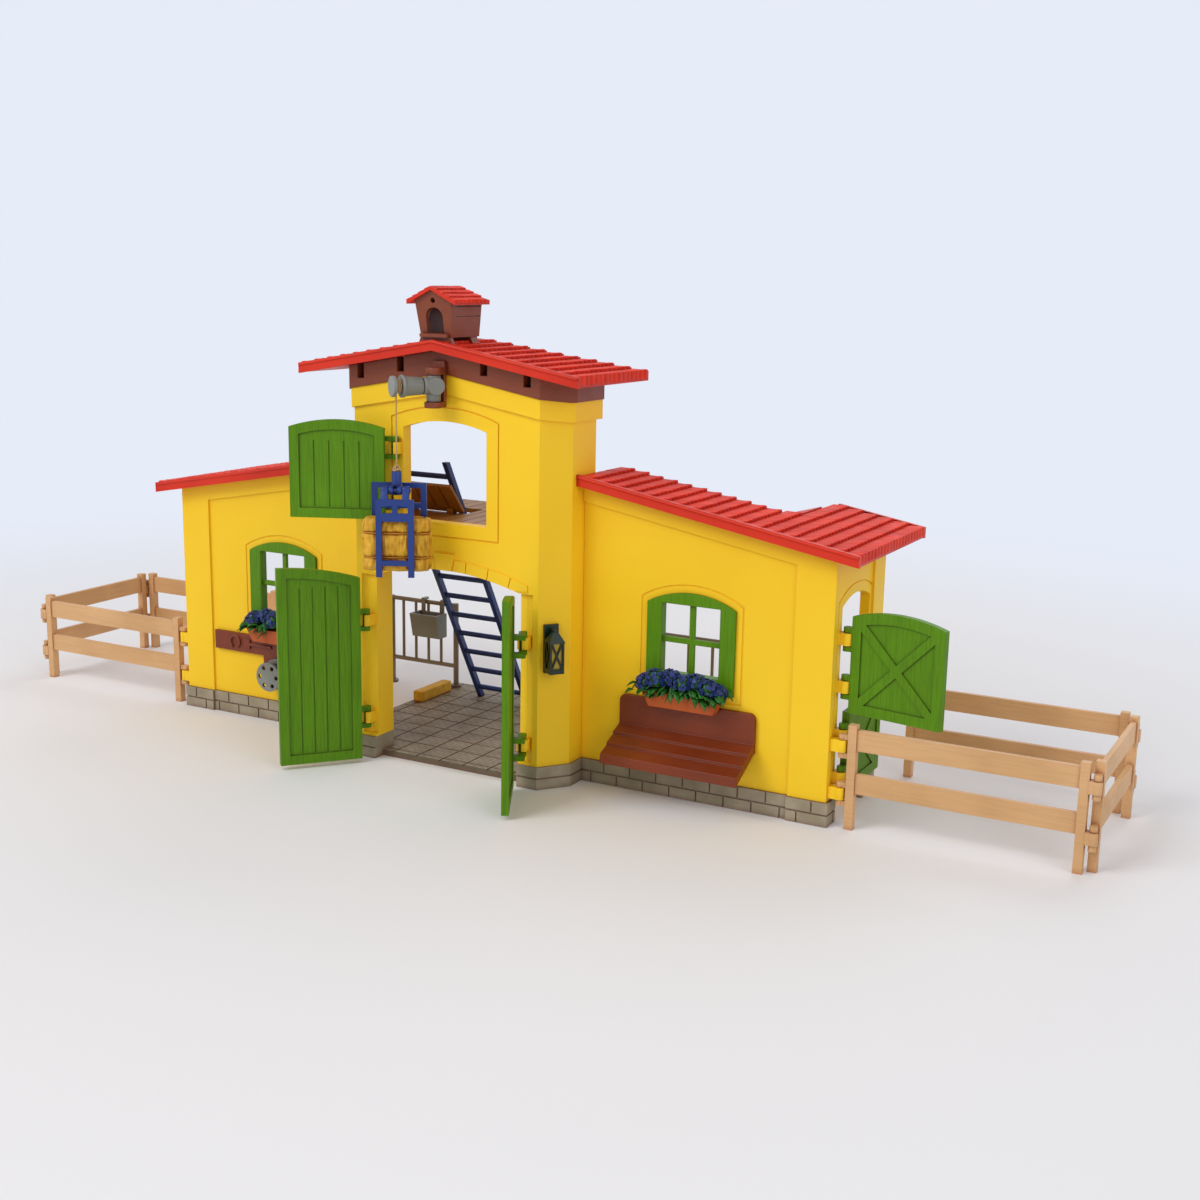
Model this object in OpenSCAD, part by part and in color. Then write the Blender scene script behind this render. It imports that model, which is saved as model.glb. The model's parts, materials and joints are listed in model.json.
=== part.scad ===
// Toy barn with opening doors: tower, two wings, crane with bale grab and folding fences.
// Row frame in millimetres: +X to the right, -Y out of the front, +Z up, origin on the
// ground under the middle of the wing fronts.

/* [Walls] */
// thickness of every moulded wall
wall_t = 3; // [2.4:0.2:3.6]
// half width of the tower over its side walls
tower_half = 80.2; // [77:0.4:84]
// half width of the flat front of the tower
tower_flat = 67.2; // [65:0.4:69]
// how far the tower stands in front of the wings
tower_proud = 32; // [30:1:34]
// distance from the middle to the outside of each wing
wing_outer = 242.8; // [238:0.4:250]
// depth of the end walls from the wing front
end_depth = 80; // [76:1:90]
// height of the stone plinth
plinth_h = 14.4; // [12:0.4:16]
// how far plinth and pilasters stand out
plinth_proud = 1.6; // [1:0.2:2]

/* [Roofs] */
// rise of the roofs per millimetre across
roof_slope = 0.1763; // [0.16:0.0005:0.19]
// height of the tower ridge
ridge_z = 269.6; // [266:0.4:274]
// half width of the tower roof
tower_eave = 100; // [96:1:104]
// thickness of the roof panels
roof_t = 5; // [4:0.5:6]
// height of the wing roofs at the outer eave
wing_eave_z = 160.5; // [158:0.5:163]
// overhang of the wing roofs past the end walls
wing_over = 15.6; // [12:0.4:18]
// step at the lower edge of each tile course
tile_step = 1.1; // [0.6:0.1:1.4]
// tile courses on each side of the tower roof
tower_courses = 10; // [7:1:12]
// tile courses on each wing roof
wing_courses = 18; // [12:1:20]

/* [Openings] */
// half width of the big arch
arch_half = 53.7; // [52:0.1:55]
// height where the big arch starts to curve
arch_spring = 121.4; // [118:0.4:123]
// rise of the big arch
arch_rise = 8.6; // [7:0.4:10]
// half width of the loft opening
loft_half = 30.3; // [29:0.1:32]
// height of the loft sill
loft_sill = 159.3; // [158.5:0.2:162]
// height where the loft opening starts to curve
loft_spring = 216.5; // [214:0.5:218]
// rise of the loft opening
loft_rise = 5; // [4:0.5:6]
// distance of the windows from the middle
window_x = 153.8; // [150:0.4:158]
// half width of the window frames
window_half = 28.8; // [26:0.4:30]
// bottom of the window frames
window_z = 68; // [67:0.5:70]

/* [Doors] */
// thickness of the door frames
leaf_t = 4.4; // [3.6:0.2:4.6]
// thickness of the door planks
plank_t = 2.6; // [2:0.2:3]
// radius of the door hinge pins
pin_r = 2; // [1.6:0.1:2.2]
// radial clearance between a pin and its clip
pin_gap = 0.06; // [0.03:0.01:0.1]
// how far the left front door stands open
left_open = 130; // [80:1:140]
// how far the right front door stands open
right_open = 118.5; // [80:0.5:120]
// how far the loft door stands open
loft_open = 156; // [130:1:165]
// how far the upper side door stands open
side_open = 101; // [90:1:102]

/* [Fences] */
// height of the fence posts
post_h = 62.3; // [60.5:0.1:66]
// length of the front and back panels between posts
long_panel = 129; // [110:1:132]
// length of the side panels between posts
side_panel = 98.5; // [90:0.5:100]

/* [Crane] */
// turn of the crane arm from straight ahead to the left
crane_yaw = 36; // [25:1:45]
// height of the crane arm
crane_z = 243.5; // [243:0.5:244.5]
// height of the bottom of the hanging bale
bale_z = 132.9; // [130:0.1:136]

/* [Hidden] */
$fn = 64;
eps = 0.01;
big = 600;

// ---- shared plan and roof values ----
front_y = -tower_proud;
chamfer_y = -15;
tower_back = 13;
crown_back = 17.5;
wing_eave = wing_outer + wing_over;
chamfer_len = norm([tower_half - tower_flat, chamfer_y - front_y]);
chamfer_dx = (tower_half - tower_flat) / chamfer_len;
chamfer_dy = (chamfer_y - front_y) / chamfer_len;
chamfer_turn = atan2(chamfer_dy, chamfer_dx);
flat_grow = (1 - chamfer_dx) / chamfer_dy;
side_grow = (1 - chamfer_dy) / chamfer_dx;

function roof_under(x) = ridge_z - roof_t - abs(x) * roof_slope;
function wing_top(x) = wing_eave_z + (wing_eave - abs(x)) * roof_slope;
function wing_under(x) = wing_top(x) - roof_t;
function arc_r(half, rise) = (half * half + rise * rise) / (2 * rise);

frieze_apex = 250.3;
frieze_low = frieze_apex - tower_half * roof_slope;
frieze_proud = 3;
cornice_drop = 11.7;
cornice_proud = 1.8;
verge_w = 3;
tower_front_over = 13.6;
tower_roof_back = [8, 42.5];
wing_front_over = 10.8;
wing_back = 112;
wing_roof_cut = [[tower_half - 1, 22], [tower_half + 4.5, 47], [wing_outer - 50, 47.5],
    [wing_outer - 40, wing_back + 1], [wing_outer - 40, 300], [tower_half - 1, 300]];

// ---- small helpers ----
// a shape drawn in X and Z, given depth from y0 to y1
module along_y(y0, y1) {
    translate([0, y1, 0]) rotate([90, 0, 0]) linear_extrude(y1 - y0) children();
}

// a shape drawn in Y and Z, given depth from x0 to x1
module along_x(x0, x1) {
    translate([x0, 0, 0]) rotate([90, 0, 90]) linear_extrude(x1 - x0) children();
}

module box(lo, hi) {
    translate(lo) cube([hi[0] - lo[0], hi[1] - lo[1], hi[2] - lo[2]]);
}

module both_sides() {
    children();
    mirror([1, 0, 0]) children();
}

// upright opening with a flat arched head, drawn about x = 0
module arch2d(half, z0, spring, rise, grow = 0) {
    r = arc_r(half, rise) + grow;
    translate([-half - grow, z0]) square([2 * (half + grow), spring - z0]);
    intersection() {
        translate([0, spring + rise + grow - r]) circle(r, $fn = 180);
        translate([-half - grow, spring - eps]) square([2 * (half + grow), rise + grow + 1]);
    }
}

// outline of the tower, moved outwards by grow, open ended at the back
module tower_plan(grow, back = tower_back) {
    polygon([
        [-tower_half - grow, back],
        [-tower_half - grow, chamfer_y - side_grow * grow],
        [-tower_flat - flat_grow * grow, front_y - grow],
        [tower_flat + flat_grow * grow, front_y - grow],
        [tower_half + grow, chamfer_y - side_grow * grow],
        [tower_half + grow, back]
    ]);
}

// wall of the tower between an outer and an inner offset
module tower_ring(outer, inner, z0, z1, back = tower_back) {
    translate([0, 0, z0]) linear_extrude(z1 - z0) difference() {
        tower_plan(outer, back);
        tower_plan(inner, back + 1);
    }
}

// everything below a line that follows the gable and is level beyond the flat front
module below_gable(apex) {
    knee = tower_half;
    along_y(front_y - 10, crown_back + 1) polygon([
        [-big, 0],
        [-big, apex - knee * roof_slope],
        [-knee, apex - knee * roof_slope],
        [0, apex],
        [knee, apex - knee * roof_slope],
        [big, apex - knee * roof_slope],
        [big, 0]
    ]);
}

// ---- clip hinges ----
clip_h = 7.2;
clip_gap = 0.4;
arm_h = 3;
clip_wall = 1.5;
clip_mouth = 2.4;

// open ring that grips a hinge pin, with a web towards -X that is web long
module clip_ring(r, web, h = clip_h) {
    outer = r + pin_gap + clip_wall;
    difference() {
        union() {
            cylinder(r = outer, h = h, center = true);
            translate([-web, -outer + 0.4, -h / 2]) cube([web, 2 * outer - 0.8, h]);
        }
        cylinder(r = r + pin_gap, h = h + 1, center = true);
        translate([0, -clip_mouth / 2, -h]) cube([outer + 1, clip_mouth, 2 * h]);
    }
}

// pin between two arms that reach reach towards +X and then set towards +Y
module pin_bracket(r, reach, h = clip_h, set = 0) {
    span = h / 2 + clip_gap;
    cylinder(r = r, h = 2 * (span + arm_h), center = true);
    for (s = [-1, 1]) {
        translate([0, 0, s * (span + arm_h / 2)]) {
            cylinder(r = r + 0.6, h = arm_h, center = true);
            translate([0, -r, -arm_h / 2]) cube([reach, 2 * r, arm_h]);
            if (set > 0) {
                translate([reach - 5, -r, -arm_h / 2]) cube([5, r + set, arm_h]);
            }
        }
    }
}

// ---- door hinges and leaves ----
front_axis = [arch_half + 4.8, front_y - 2.8];
front_clip_z = [28, 92];
loft_axis = [-loft_half - 4.3, front_y - 3];
loft_clip_z = [172, 203.5];
side_axis = [wing_outer + 4.3, 9.8];
side_upper_clip_z = [82, 110];
side_lower_clip_z = [27.5, 53];
leaf_gap = 0.8;
front_set = 7;
loft_set = 6.4;
front_start = front_axis[0] - arch_half + leaf_gap;
front_reach = front_axis[0] - leaf_gap;
loft_start = -loft_axis[0] - loft_half + leaf_gap;
loft_reach = loft_start + 2 * loft_half - 2 * leaf_gap;
side_start = 3.6;
side_reach = 61.5;
rail_w = 6;
leaf_bottom = 3;

// outline of a door leaf from the hinge edge at s0 to s1, with an arc of radius r
module leaf2d(s0, s1, z0, mid, top, r, inset = 0) {
    intersection() {
        translate([s0 + inset, z0 + inset]) square([s1 - s0 - 2 * inset, top - z0]);
        translate([mid, top - r]) circle(r - inset, $fn = 180);
    }
}

// planked leaf with a raised border, hung set behind the pins at the origin
module door_leaf(s0, s1, z0, mid, top, r, clips, planks, brace = false, set = 0) {
    pitch = (s1 - s0 - 2 * rail_w) / planks;
    translate([0, set, 0]) difference() {
        union() {
            along_y(-leaf_t / 2, leaf_t / 2) difference() {
                leaf2d(s0, s1, z0, mid, top, r);
                leaf2d(s0, s1, z0, mid, top, r, rail_w);
            }
            along_y(-plank_t / 2, plank_t / 2) leaf2d(s0, s1, z0, mid, top, r, rail_w - 1);
            if (brace) {
                along_y(-leaf_t / 2, leaf_t / 2) intersection() {
                    leaf2d(s0, s1, z0, mid, top, r, 2);
                    brace2d(s0 + rail_w / 2, s1 - rail_w / 2, z0 + rail_w / 2, top - rail_w);
                }
            }
        }
        if (!brace) {
            for (i = [1:planks - 1], s = [-1, 1]) {
                x = s0 + rail_w + i * pitch;
                translate([x - 0.4, s * plank_t / 2 - 0.4, z0 + rail_w + 1])
                    cube([0.8, 0.8, top - z0 - 2 * rail_w - 8]);
            }
        }
    }
    for (z = clips) {
        translate([0, 0, z])
            pin_bracket(pin_r, set > 0 ? s0 + 5.4 : s0 + 0.6, clip_h, max(0, set - leaf_t / 2 + eps));
    }
}

// two crossing bars between opposite corners
module brace2d(x0, x1, z0, z1) {
    w = x1 - x0;
    h = z1 - z0;
    for (s = [-1, 1]) {
        translate([(x0 + x1) / 2, (z0 + z1) / 2]) rotate(s * atan2(h, w))
            square([norm([w, h]), 5], center = true);
    }
}

front_door_r = arc_r(arch_half, arch_rise);
front_door_top = arch_spring + arch_rise - 0.5;

module front_door_leaf() {
    door_leaf(front_start, front_reach, leaf_bottom, front_axis[0], front_door_top, front_door_r,
        front_clip_z, 5, false, front_set);
}

module front_door_left() {
    color("olivedrab") translate([-front_axis[0], front_axis[1], 0])
        rotate([0, 0, -left_open]) front_door_leaf();
}

module front_door_right() {
    color("olivedrab") translate([front_axis[0], front_axis[1], 0])
        rotate([0, 0, right_open]) mirror([1, 0, 0]) front_door_leaf();
}

module loft_door() {
    mid = (loft_start + loft_reach) / 2;
    color("olivedrab") translate([loft_axis[0], loft_axis[1], 0]) rotate([0, 0, -loft_open])
        door_leaf(loft_start, loft_reach, loft_sill + 0.6, mid, loft_spring + loft_rise - 0.9,
            arc_r(loft_half, loft_rise), loft_clip_z, 5, false, loft_set);
}

module side_leaf(z0, z1, rise, clips, brace) {
    mid = (side_start + side_reach) / 2;
    door_leaf(side_start, side_reach, z0, mid, z1 + rise, rise > 0 ? arc_r(mid - side_start, rise) : big,
        clips, 5, brace);
}

module side_door_upper() {
    color("olivedrab") translate([side_axis[0], side_axis[1], 0]) rotate([0, 0, 90 - side_open])
        side_leaf(67.6, 124, 4.6, side_upper_clip_z, true);
}

module side_door_lower() {
    color("olivedrab") translate([side_axis[0], side_axis[1], 0]) rotate([0, 0, 90])
        side_leaf(17, 66, 0.4, side_lower_clip_z, true);
}

// ---- tower ----
arch_depth = 19;
casing_depth = 8;
rebate = 3;
key_half = 7.5;
voussoir_h = 7;
voussoir_proud = 0.8;
cove_r = 4.2;
casing_w = front_axis[0] + 1 + cove_r + wall_t - arch_half;

// front arch filled, grown by grow
module big_arch2d(grow = 0) {
    arch2d(arch_half, 0, arch_spring, arch_rise, grow);
}

module loft_arch2d(grow = 0) {
    translate([0, -grow]) arch2d(loft_half, loft_sill, loft_spring + grow, loft_rise, grow);
}

// groove round the loft opening, and the moulded stones over the big arch
module tower_outline() {
    along_y(front_y - eps, front_y + 0.8) difference() {
        loft_arch2d(9);
        loft_arch2d(8);
    }
}

module voussoirs() {
    r = arc_r(arch_half, arch_rise);
    centre = arch_spring + arch_rise - r;
    along_y(front_y - voussoir_proud, front_y) difference() {
        intersection() {
            big_arch2d(voussoir_h);
            translate([-big, arch_spring + 1.5]) square([2 * big, 30]);
            translate([-arch_half - 6, 0]) square([2 * arch_half + 12, big]);
        }
        big_arch2d();
        for (i = [0:6]) {
            translate([0, centre]) rotate(-15.6 + 5.2 * i)
                translate([-0.35, r - 2]) square([0.7, 14]);
        }
        translate([0, centre]) key2d(r, 0.8);
    }
    along_y(front_y - 1.6, front_y) translate([0, centre]) key2d(r, 0);
}

// keystone outline about the centre of the arch
module key2d(r, grow) {
    polygon([
        [-5.6 - grow, r + eps],
        [5.6 + grow, r + eps],
        [key_half + grow, r + 10.6],
        [-key_half - grow, r + 10.6]
    ]);
}

module tower_wall() {
    color("gold") {
        difference() {
            intersection() {
                union() {
                    tower_ring(0, -wall_t, plinth_h, ridge_z);
                    difference() {
                        tower_ring(cornice_proud, -wall_t + 1, plinth_h, ridge_z, crown_back);
                        below_gable(frieze_apex - cornice_drop);
                    }
                    jambs(plinth_h);
                    along_y(front_y + 1, front_y + casing_depth) loft_arch2d(wall_t);
                    voussoirs();
                }
                below_gable(frieze_apex);
            }
            along_y(front_y - 5, front_y + casing_depth + 30) {
                big_arch2d();
                loft_arch2d();
            }
            tower_outline();
            both_sides() {
                translate([front_axis[0] + 1, front_y + rebate - cove_r, plinth_h + 2])
                    cylinder(r = cove_r, h = arch_spring - plinth_h - 2);
                box([arch_half - 1, front_y - 1, plinth_h + 2],
                    [front_axis[0] + 1, front_y + rebate - 0.3, arch_spring]);
            }
        }
        both_sides() for (z = front_clip_z) {
            translate([front_axis[0], front_axis[1], z]) rotate([0, 0, -90])
                clip_ring(pin_r, front_y - front_axis[1] + rebate + 0.5);
        }
        for (z = loft_clip_z) {
            translate([loft_axis[0], loft_axis[1], z]) rotate([0, 0, -90])
                clip_ring(pin_r, front_y - loft_axis[1] + 0.5);
        }
    }
}

// return walls on both sides of the big arch, with its arched soffit and the casing behind the rebate
module jambs(z0) {
    start = front_y + rebate / 2;
    along_y(start, front_y + arch_depth) intersection() {
        big_arch2d(wall_t);
        translate([-big, z0]) square([2 * big, big]);
    }
    along_y(start, front_y + rebate + wall_t) intersection() {
        big_arch2d(casing_w);
        translate([-big, z0]) square([2 * big, big]);
    }
}

module tower_plinth() {
    color("tan") difference() {
        union() {
            tower_ring(plinth_proud, -wall_t, 0, plinth_h);
            along_y(front_y + 1, front_y + arch_depth) intersection() {
                big_arch2d(wall_t);
                translate([-big, 0]) square([2 * big, plinth_h]);
            }
        }
        along_y(front_y - 5, front_y + arch_depth + 1) big_arch2d();
        translate([0, 0, plinth_h / 2]) linear_extrude(1, center = true) difference() {
            tower_plan(plinth_proud + 1);
            tower_plan(plinth_proud - 0.7, tower_back + 1);
        }
    }
}

module tower_frieze() {
    slot_w = 4.8;
    slot_h = 9;
    color("sienna") difference() {
        intersection() {
            tower_ring(frieze_proud, -wall_t, frieze_low - 5, ridge_z, crown_back);
            along_y(front_y - 10, crown_back) polygon([
                [-big, 0],
                [0, 0],
                [big, 0],
                [tower_eave, roof_under(tower_eave)],
                [0, roof_under(0)],
                [-tower_eave, roof_under(tower_eave)]
            ]);
        }
        below_gable(frieze_apex);
        for (x = [-60, -30, 30, 60]) {
            translate([x - slot_w / 2, front_y - frieze_proud - 1, roof_under(x) - slot_h])
                cube([slot_w, frieze_proud + wall_t + 2, slot_h + 3]);
        }
    }
}

// ---- roofs ----
// tiled slab from x0 up the slope to x1, as a profile in X and Z for the right side
module course_profile(x0, x1, top0, courses, step) {
    w = (x1 - x0) / courses;
    tops = [for (i = [0:courses - 1], e = [0, 1])
        [x0 + (i + e) * w, top0 - (i + e) * w * roof_slope + e * step]];
    polygon(concat(
        [[x0, top0 - roof_t]],
        tops,
        [[x1, top0 - (x1 - x0) * roof_slope - roof_t]]
    ));
}

// smooth slab of the same slope, standing rise over the tile line
module verge_profile(x0, x1, top0, rise, drop) {
    polygon([
        [x0, top0 - roof_t - drop],
        [x0, top0 + rise],
        [x1, top0 - (x1 - x0) * roof_slope + rise],
        [x1, top0 - (x1 - x0) * roof_slope - roof_t - drop]
    ]);
}

saddle_half = 13;
saddle_ys = [[-41, -38], [-19, -12]];

module tower_roof() {
    y0 = front_y - tower_front_over;
    back = tower_roof_back;
    color("tomato") difference() {
        both_sides() {
            along_y(y0 + verge_w, back[1])
                course_profile(0, tower_eave, ridge_z, tower_courses, tile_step);
            along_y(y0, y0 + verge_w) verge_profile(0, tower_eave, ridge_z, tile_step, 0.4);
            for (s = saddle_ys) {
                along_y(s[0] - 0.5, s[1] + 0.5) verge_profile(0, saddle_half, ridge_z, tile_step, -1);
            }
        }
        linear_extrude(big) polygon([
            [0, back[0]],
            [tower_eave, back[1]],
            [tower_eave + 1, big],
            [-tower_eave - 1, big],
            [-tower_eave, back[1]]
        ]);
    }
}

module wing_roof() {
    w = (wing_eave - tower_half) / wing_courses;
    last = wing_back;
    difference() {
        union() {
            along_y(-wing_front_over + verge_w, last - verge_w)
                course_profile(tower_half, wing_eave, wing_top(tower_half), wing_courses, tile_step);
            along_y(-wing_front_over, -wing_front_over + verge_w)
                verge_profile(tower_half, wing_eave, wing_top(tower_half), tile_step, 0.6);
            along_y(last - verge_w, last)
                verge_profile(tower_half, wing_eave, wing_top(tower_half), tile_step, 0.6);
        }
        linear_extrude(big) polygon(wing_roof_cut);
    }
}

module wing_roof_right() {
    color("tomato") wing_roof();
}

module wing_roof_left() {
    color("tomato") mirror([1, 0, 0]) wing_roof();
}

// ---- wing walls ----
band_drop = 11;
pilaster_w = 24;
window_reveal = 6.3;
window_spring = 120;
window_rise = 7.5;
member_w = 9.9;
door_y = [11, 58];
door_spring = 127.3;
door_rise = 5.2;
back_pilaster_y = 58;
fence_axis = [wing_outer + 6.6, 3];
fence_clip_z = [20.5, 49];
fence_pin_r = 1.6;

// space under a wing roof, lowered by drop
module under_wing_roof(x0, x1, drop = 0) {
    along_y(-20, wing_back) polygon([
        [x0, 0],
        [x1, 0],
        [x1, wing_under(x1) - drop],
        [x0, wing_under(x0) - drop]
    ]);
}

module window2d(grow = 0) {
    translate([0, -grow])
        arch2d(window_half, window_z, window_spring + grow, window_rise, grow);
}

// right-hand wing front
module front_wall() {
    difference() {
        intersection() {
            union() {
                box([tower_half, 0, plinth_h], [wing_outer, wall_t, ridge_z]);
                box([wing_outer - pilaster_w, -plinth_proud, plinth_h], [wing_outer, eps, ridge_z]);
                difference() {
                    box([tower_half, -plinth_proud, plinth_h], [wing_outer, eps, ridge_z]);
                    under_wing_roof(tower_half - 1, wing_outer + 1, band_drop);
                }
            }
            under_wing_roof(tower_half, wing_outer);
        }
        translate([window_x, 0, 0]) {
            along_y(-1, wall_t + 1) window2d(-member_w + 1.6);
            along_y(-1, 0.8) difference() {
                window2d(4.6);
                window2d(3.6);
            }
        }
    }
}

module front_wall_right() {
    color("gold") front_wall();
}

module front_wall_left() {
    color("gold") mirror([1, 0, 0]) front_wall();
}

module end_arch2d(grow = 0) {
    translate([(door_y[0] + door_y[1]) / 2, 0])
        arch2d((door_y[1] - door_y[0]) / 2, 0, door_spring, door_rise, grow);
}

// right-hand end wall with its doorway, door clips and fence clips
module end_wall() {
    reveal = 6;
    difference() {
        intersection() {
            union() {
                box([wing_outer - wall_t, wall_t, plinth_h], [wing_outer, end_depth, ridge_z]);
                box([wing_outer - eps, back_pilaster_y + 3, plinth_h],
                    [wing_outer + plinth_proud, end_depth, ridge_z]);
                along_x(wing_outer - reveal, wing_outer - 1) end_arch2d(wall_t);
            }
            under_wing_roof(wing_outer - reveal - 1, wing_outer + plinth_proud + 1);
            box([0, 0, plinth_h], [big, end_depth, big]);
        }
        along_x(wing_outer - 10, wing_outer + 10) end_arch2d();
        along_x(wing_outer - 0.8, wing_outer + eps) difference() {
            end_arch2d(6.6);
            end_arch2d(5.6);
            translate([back_pilaster_y + 3, 0]) square([20, 200]);
        }
    }
    for (z = concat(side_upper_clip_z, side_lower_clip_z)) {
        translate([side_axis[0], side_axis[1], z]) clip_ring(pin_r, side_axis[0] - wing_outer + 0.5);
    }
    for (z = fence_clip_z) {
        translate([fence_axis[0], fence_axis[1], z])
            clip_ring(fence_pin_r, fence_axis[0] - wing_outer);
        box([wing_outer - 0.5, wall_t, z - clip_h / 2], [wing_outer + 1, wall_t + 2, z + clip_h / 2]);
    }
}

module end_wall_right() {
    color("gold") end_wall();
}

module end_wall_left() {
    color("gold") mirror([1, 0, 0]) end_wall();
}

brick_l = 18;
joint_w = 1;

// upright joints of two staggered brick courses along +X from x0 to x1 at depth y
module brick_joints(x0, x1, y) {
    for (row = [0, 1]) {
        n = floor((x1 - x0) / brick_l);
        for (i = [0:n]) {
            x = x0 + brick_l * (i + 0.35 + 0.5 * row);
            if (x < x1 - 3) {
                translate([x, y, row * plinth_h / 2]) cube([joint_w, 1.4, plinth_h / 2], center = false);
            }
        }
    }
}

// right-hand wing plinth
module wing_plinth() {
    x0 = tower_half + plinth_proud;
    x1 = wing_outer - pilaster_w;
    face = -plinth_proud;
    side = wing_outer + plinth_proud;
    difference() {
        union() {
            box([x0, face, 0], [wing_outer, wall_t, plinth_h]);
            box([x1, 2 * face, 0], [side, 0, plinth_h]);
            box([wing_outer - wall_t, -eps, 0], [side, end_depth, plinth_h]);
        }
        box([0, door_y[0], -1], [big, door_y[1], plinth_h + 1]);
        box([x0 - 1, face - 1, plinth_h / 2 - joint_w / 2], [x1 - eps, face + 0.7, plinth_h / 2 + joint_w / 2]);
        box([x1, 2 * face - 1, plinth_h / 2 - joint_w / 2], [side + 1, 2 * face + 0.7, plinth_h / 2 + joint_w / 2]);
        box([side - 0.7, -big, plinth_h / 2 - joint_w / 2], [side + 1, big, plinth_h / 2 + joint_w / 2]);
        brick_joints(x0, x1, face - 0.7);
        brick_joints(x1, side, 2 * face - 0.7);
        translate([side, 0, 0]) rotate([0, 0, 90]) {
            brick_joints(0, door_y[0], -0.7);
            brick_joints(door_y[1], end_depth, -0.7);
        }
    }
}

module plinth_right() {
    color("tan") wing_plinth();
}

module plinth_left() {
    color("tan") mirror([1, 0, 0]) wing_plinth();
}

floor_t = 4;
floor_back = 141;
floor_front = 7;
floor_half = 106;

module floor_plate() {
    inner = arch_half + wall_t;
    color("rosybrown") difference() {
        union() {
            linear_extrude(floor_t) intersection() {
                tower_plan(-wall_t);
                translate([-big, front_y + floor_front]) square([2 * big, big]);
            }
            box([-arch_half, front_y + floor_front, 0], [arch_half, 0, floor_t]);
            box([-floor_half, tower_back, 0], [floor_half, floor_back, floor_t]);
        }
        both_sides() box([arch_half, front_y - 1, -1], [inner, front_y + arch_depth, floor_t + 1]);
        for (y = [-20:18:130]) {
            box([-big, y - 0.5, floor_t - 0.8], [big, y + 0.5, floor_t + 1]);
        }
        for (x = [-99:18:100]) {
            box([x - 0.5, front_y, floor_t - 0.8], [x + 0.5, floor_back + 1, floor_t + 1]);
        }
    }
}

// ---- windows, flowers, bench, boards ----
module window_frame() {
    opening = -member_w;
    translate([window_x, 0, 0]) {
        along_y(-2, 0) difference() {
            window2d();
            window2d(opening);
        }
        along_y(-eps, window_reveal - 2) difference() {
            window2d(opening + 1.6);
            window2d(opening);
        }
        along_y(0.4, 3) intersection() {
            window2d(opening + eps);
            union() {
                translate([-1.75, window_z]) square([3.5, 80]);
                translate([-window_half, 96]) square([2 * window_half, 3.4]);
            }
        }
    }
}

module window_right() {
    color("olivedrab") window_frame();
}

module window_left() {
    color("olivedrab") mirror([1, 0, 0]) window_frame();
}

box_top_half = 25.5;
box_bottom_half = 21;
box_depth = 13;
box_bottom = 58;

module flower_box() {
    translate([window_x - 1, 0, 0]) intersection() {
        along_x(-window_half, window_half) polygon([
            [0, window_z],
            [-box_depth, window_z],
            [-box_depth + 1.5, box_bottom],
            [-3.2, box_bottom],
            [-3.2, 61.5],
            [0, 61.5]
        ]);
        along_y(-box_depth - 1, 1) polygon([
            [-box_bottom_half, box_bottom],
            [box_bottom_half, box_bottom],
            [box_top_half, window_z],
            [-box_top_half, window_z]
        ]);
    }
}

module flower_box_right() {
    color("chocolate") flower_box();
}

module flower_box_left() {
    color("chocolate") mirror([1, 0, 0]) flower_box();
}

// clump of blossom: [along the box, height, radius] of each round, and the same from the side
flower_rounds = [
    [-23, 72, 7], [-13, 75.5, 7.4], [-3, 77.5, 7.4], [7, 76, 7.4], [16, 76.5, 7], [25, 72, 6.4]
];
flower_side = [[-7.5, 76, 6.6], [-12.5, 71.4, 6.9]];

module flowers() {
    intersection() {
        along_y(-30, -2) intersection() {
            translate([window_x - 3, 0]) union() {
                for (f = flower_rounds) {
                    translate([f[0], f[1]]) circle(f[2]);
                }
                translate([-23, 60]) square([48, 12]);
            }
            translate([0, window_z]) square([big, 50]);
        }
        along_x(window_x - 50, window_x + 50) union() {
            for (f = flower_side) {
                translate([f[0], f[1]]) circle(f[2]);
            }
            translate([-12, 60]) square([8, 12]);
        }
    }
}

module flowers_right() {
    color("royalblue") flowers();
}

module flowers_left() {
    color("royalblue") mirror([1, 0, 0]) flowers();
}

bench_x = [108.4, 197.4];
board_z = [47.6, 60.5];
board_t = 3;

module bench() {
    slats = 3;
    run = 8.2;
    fall = 4.9;
    seat_t = 4.5;
    top = 42;
    steps = [for (i = [0:slats - 1], e = [0, 1])
        [-board_t - (i + e) * run, top - (i + e) * fall + e * 1.4]];
    color("saddlebrown") {
        intersection() {
            box([bench_x[0], -board_t, top - 6], [bench_x[1], 0, board_z[1]]);
            along_y(-board_t - 1, 1) union() {
                translate([bench_x[0], 0]) square([bench_x[1] - bench_x[0], board_z[1] - 4]);
                translate([bench_x[0] + 4, 0]) square([bench_x[1] - bench_x[0] - 8, board_z[1]]);
                for (x = [bench_x[0] + 4, bench_x[1] - 4]) {
                    translate([x, board_z[1] - 4]) circle(4);
                }
            }
        }
        along_x(bench_x[0], bench_x[1]) polygon(concat(
            [[-board_t + eps, top - seat_t - 2]],
            [[-board_t + eps, top]],
            steps,
            [[-board_t - slats * run, top - slats * fall - seat_t]]
        ));
        for (x = [bench_x[0] + 12, bench_x[1] - 16]) {
            along_x(x, x + 4) polygon([
                [0, 20],
                [0, top - 6 + eps],
                [-board_t, top - seat_t],
                [-board_t - 2.4 * run, top - 2.4 * fall - seat_t + 1],
                [-board_t - 1.8 * run, top - 2.4 * fall - seat_t - 4]
            ]);
        }
    }
}

tool_x = [-wing_outer + pilaster_w + 3.2, -127.5];
tool_z = [46.4, 59.6];
tool_t = 2.6;
shoe_x = -197;
hanger_x = [-172, -146];

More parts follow.
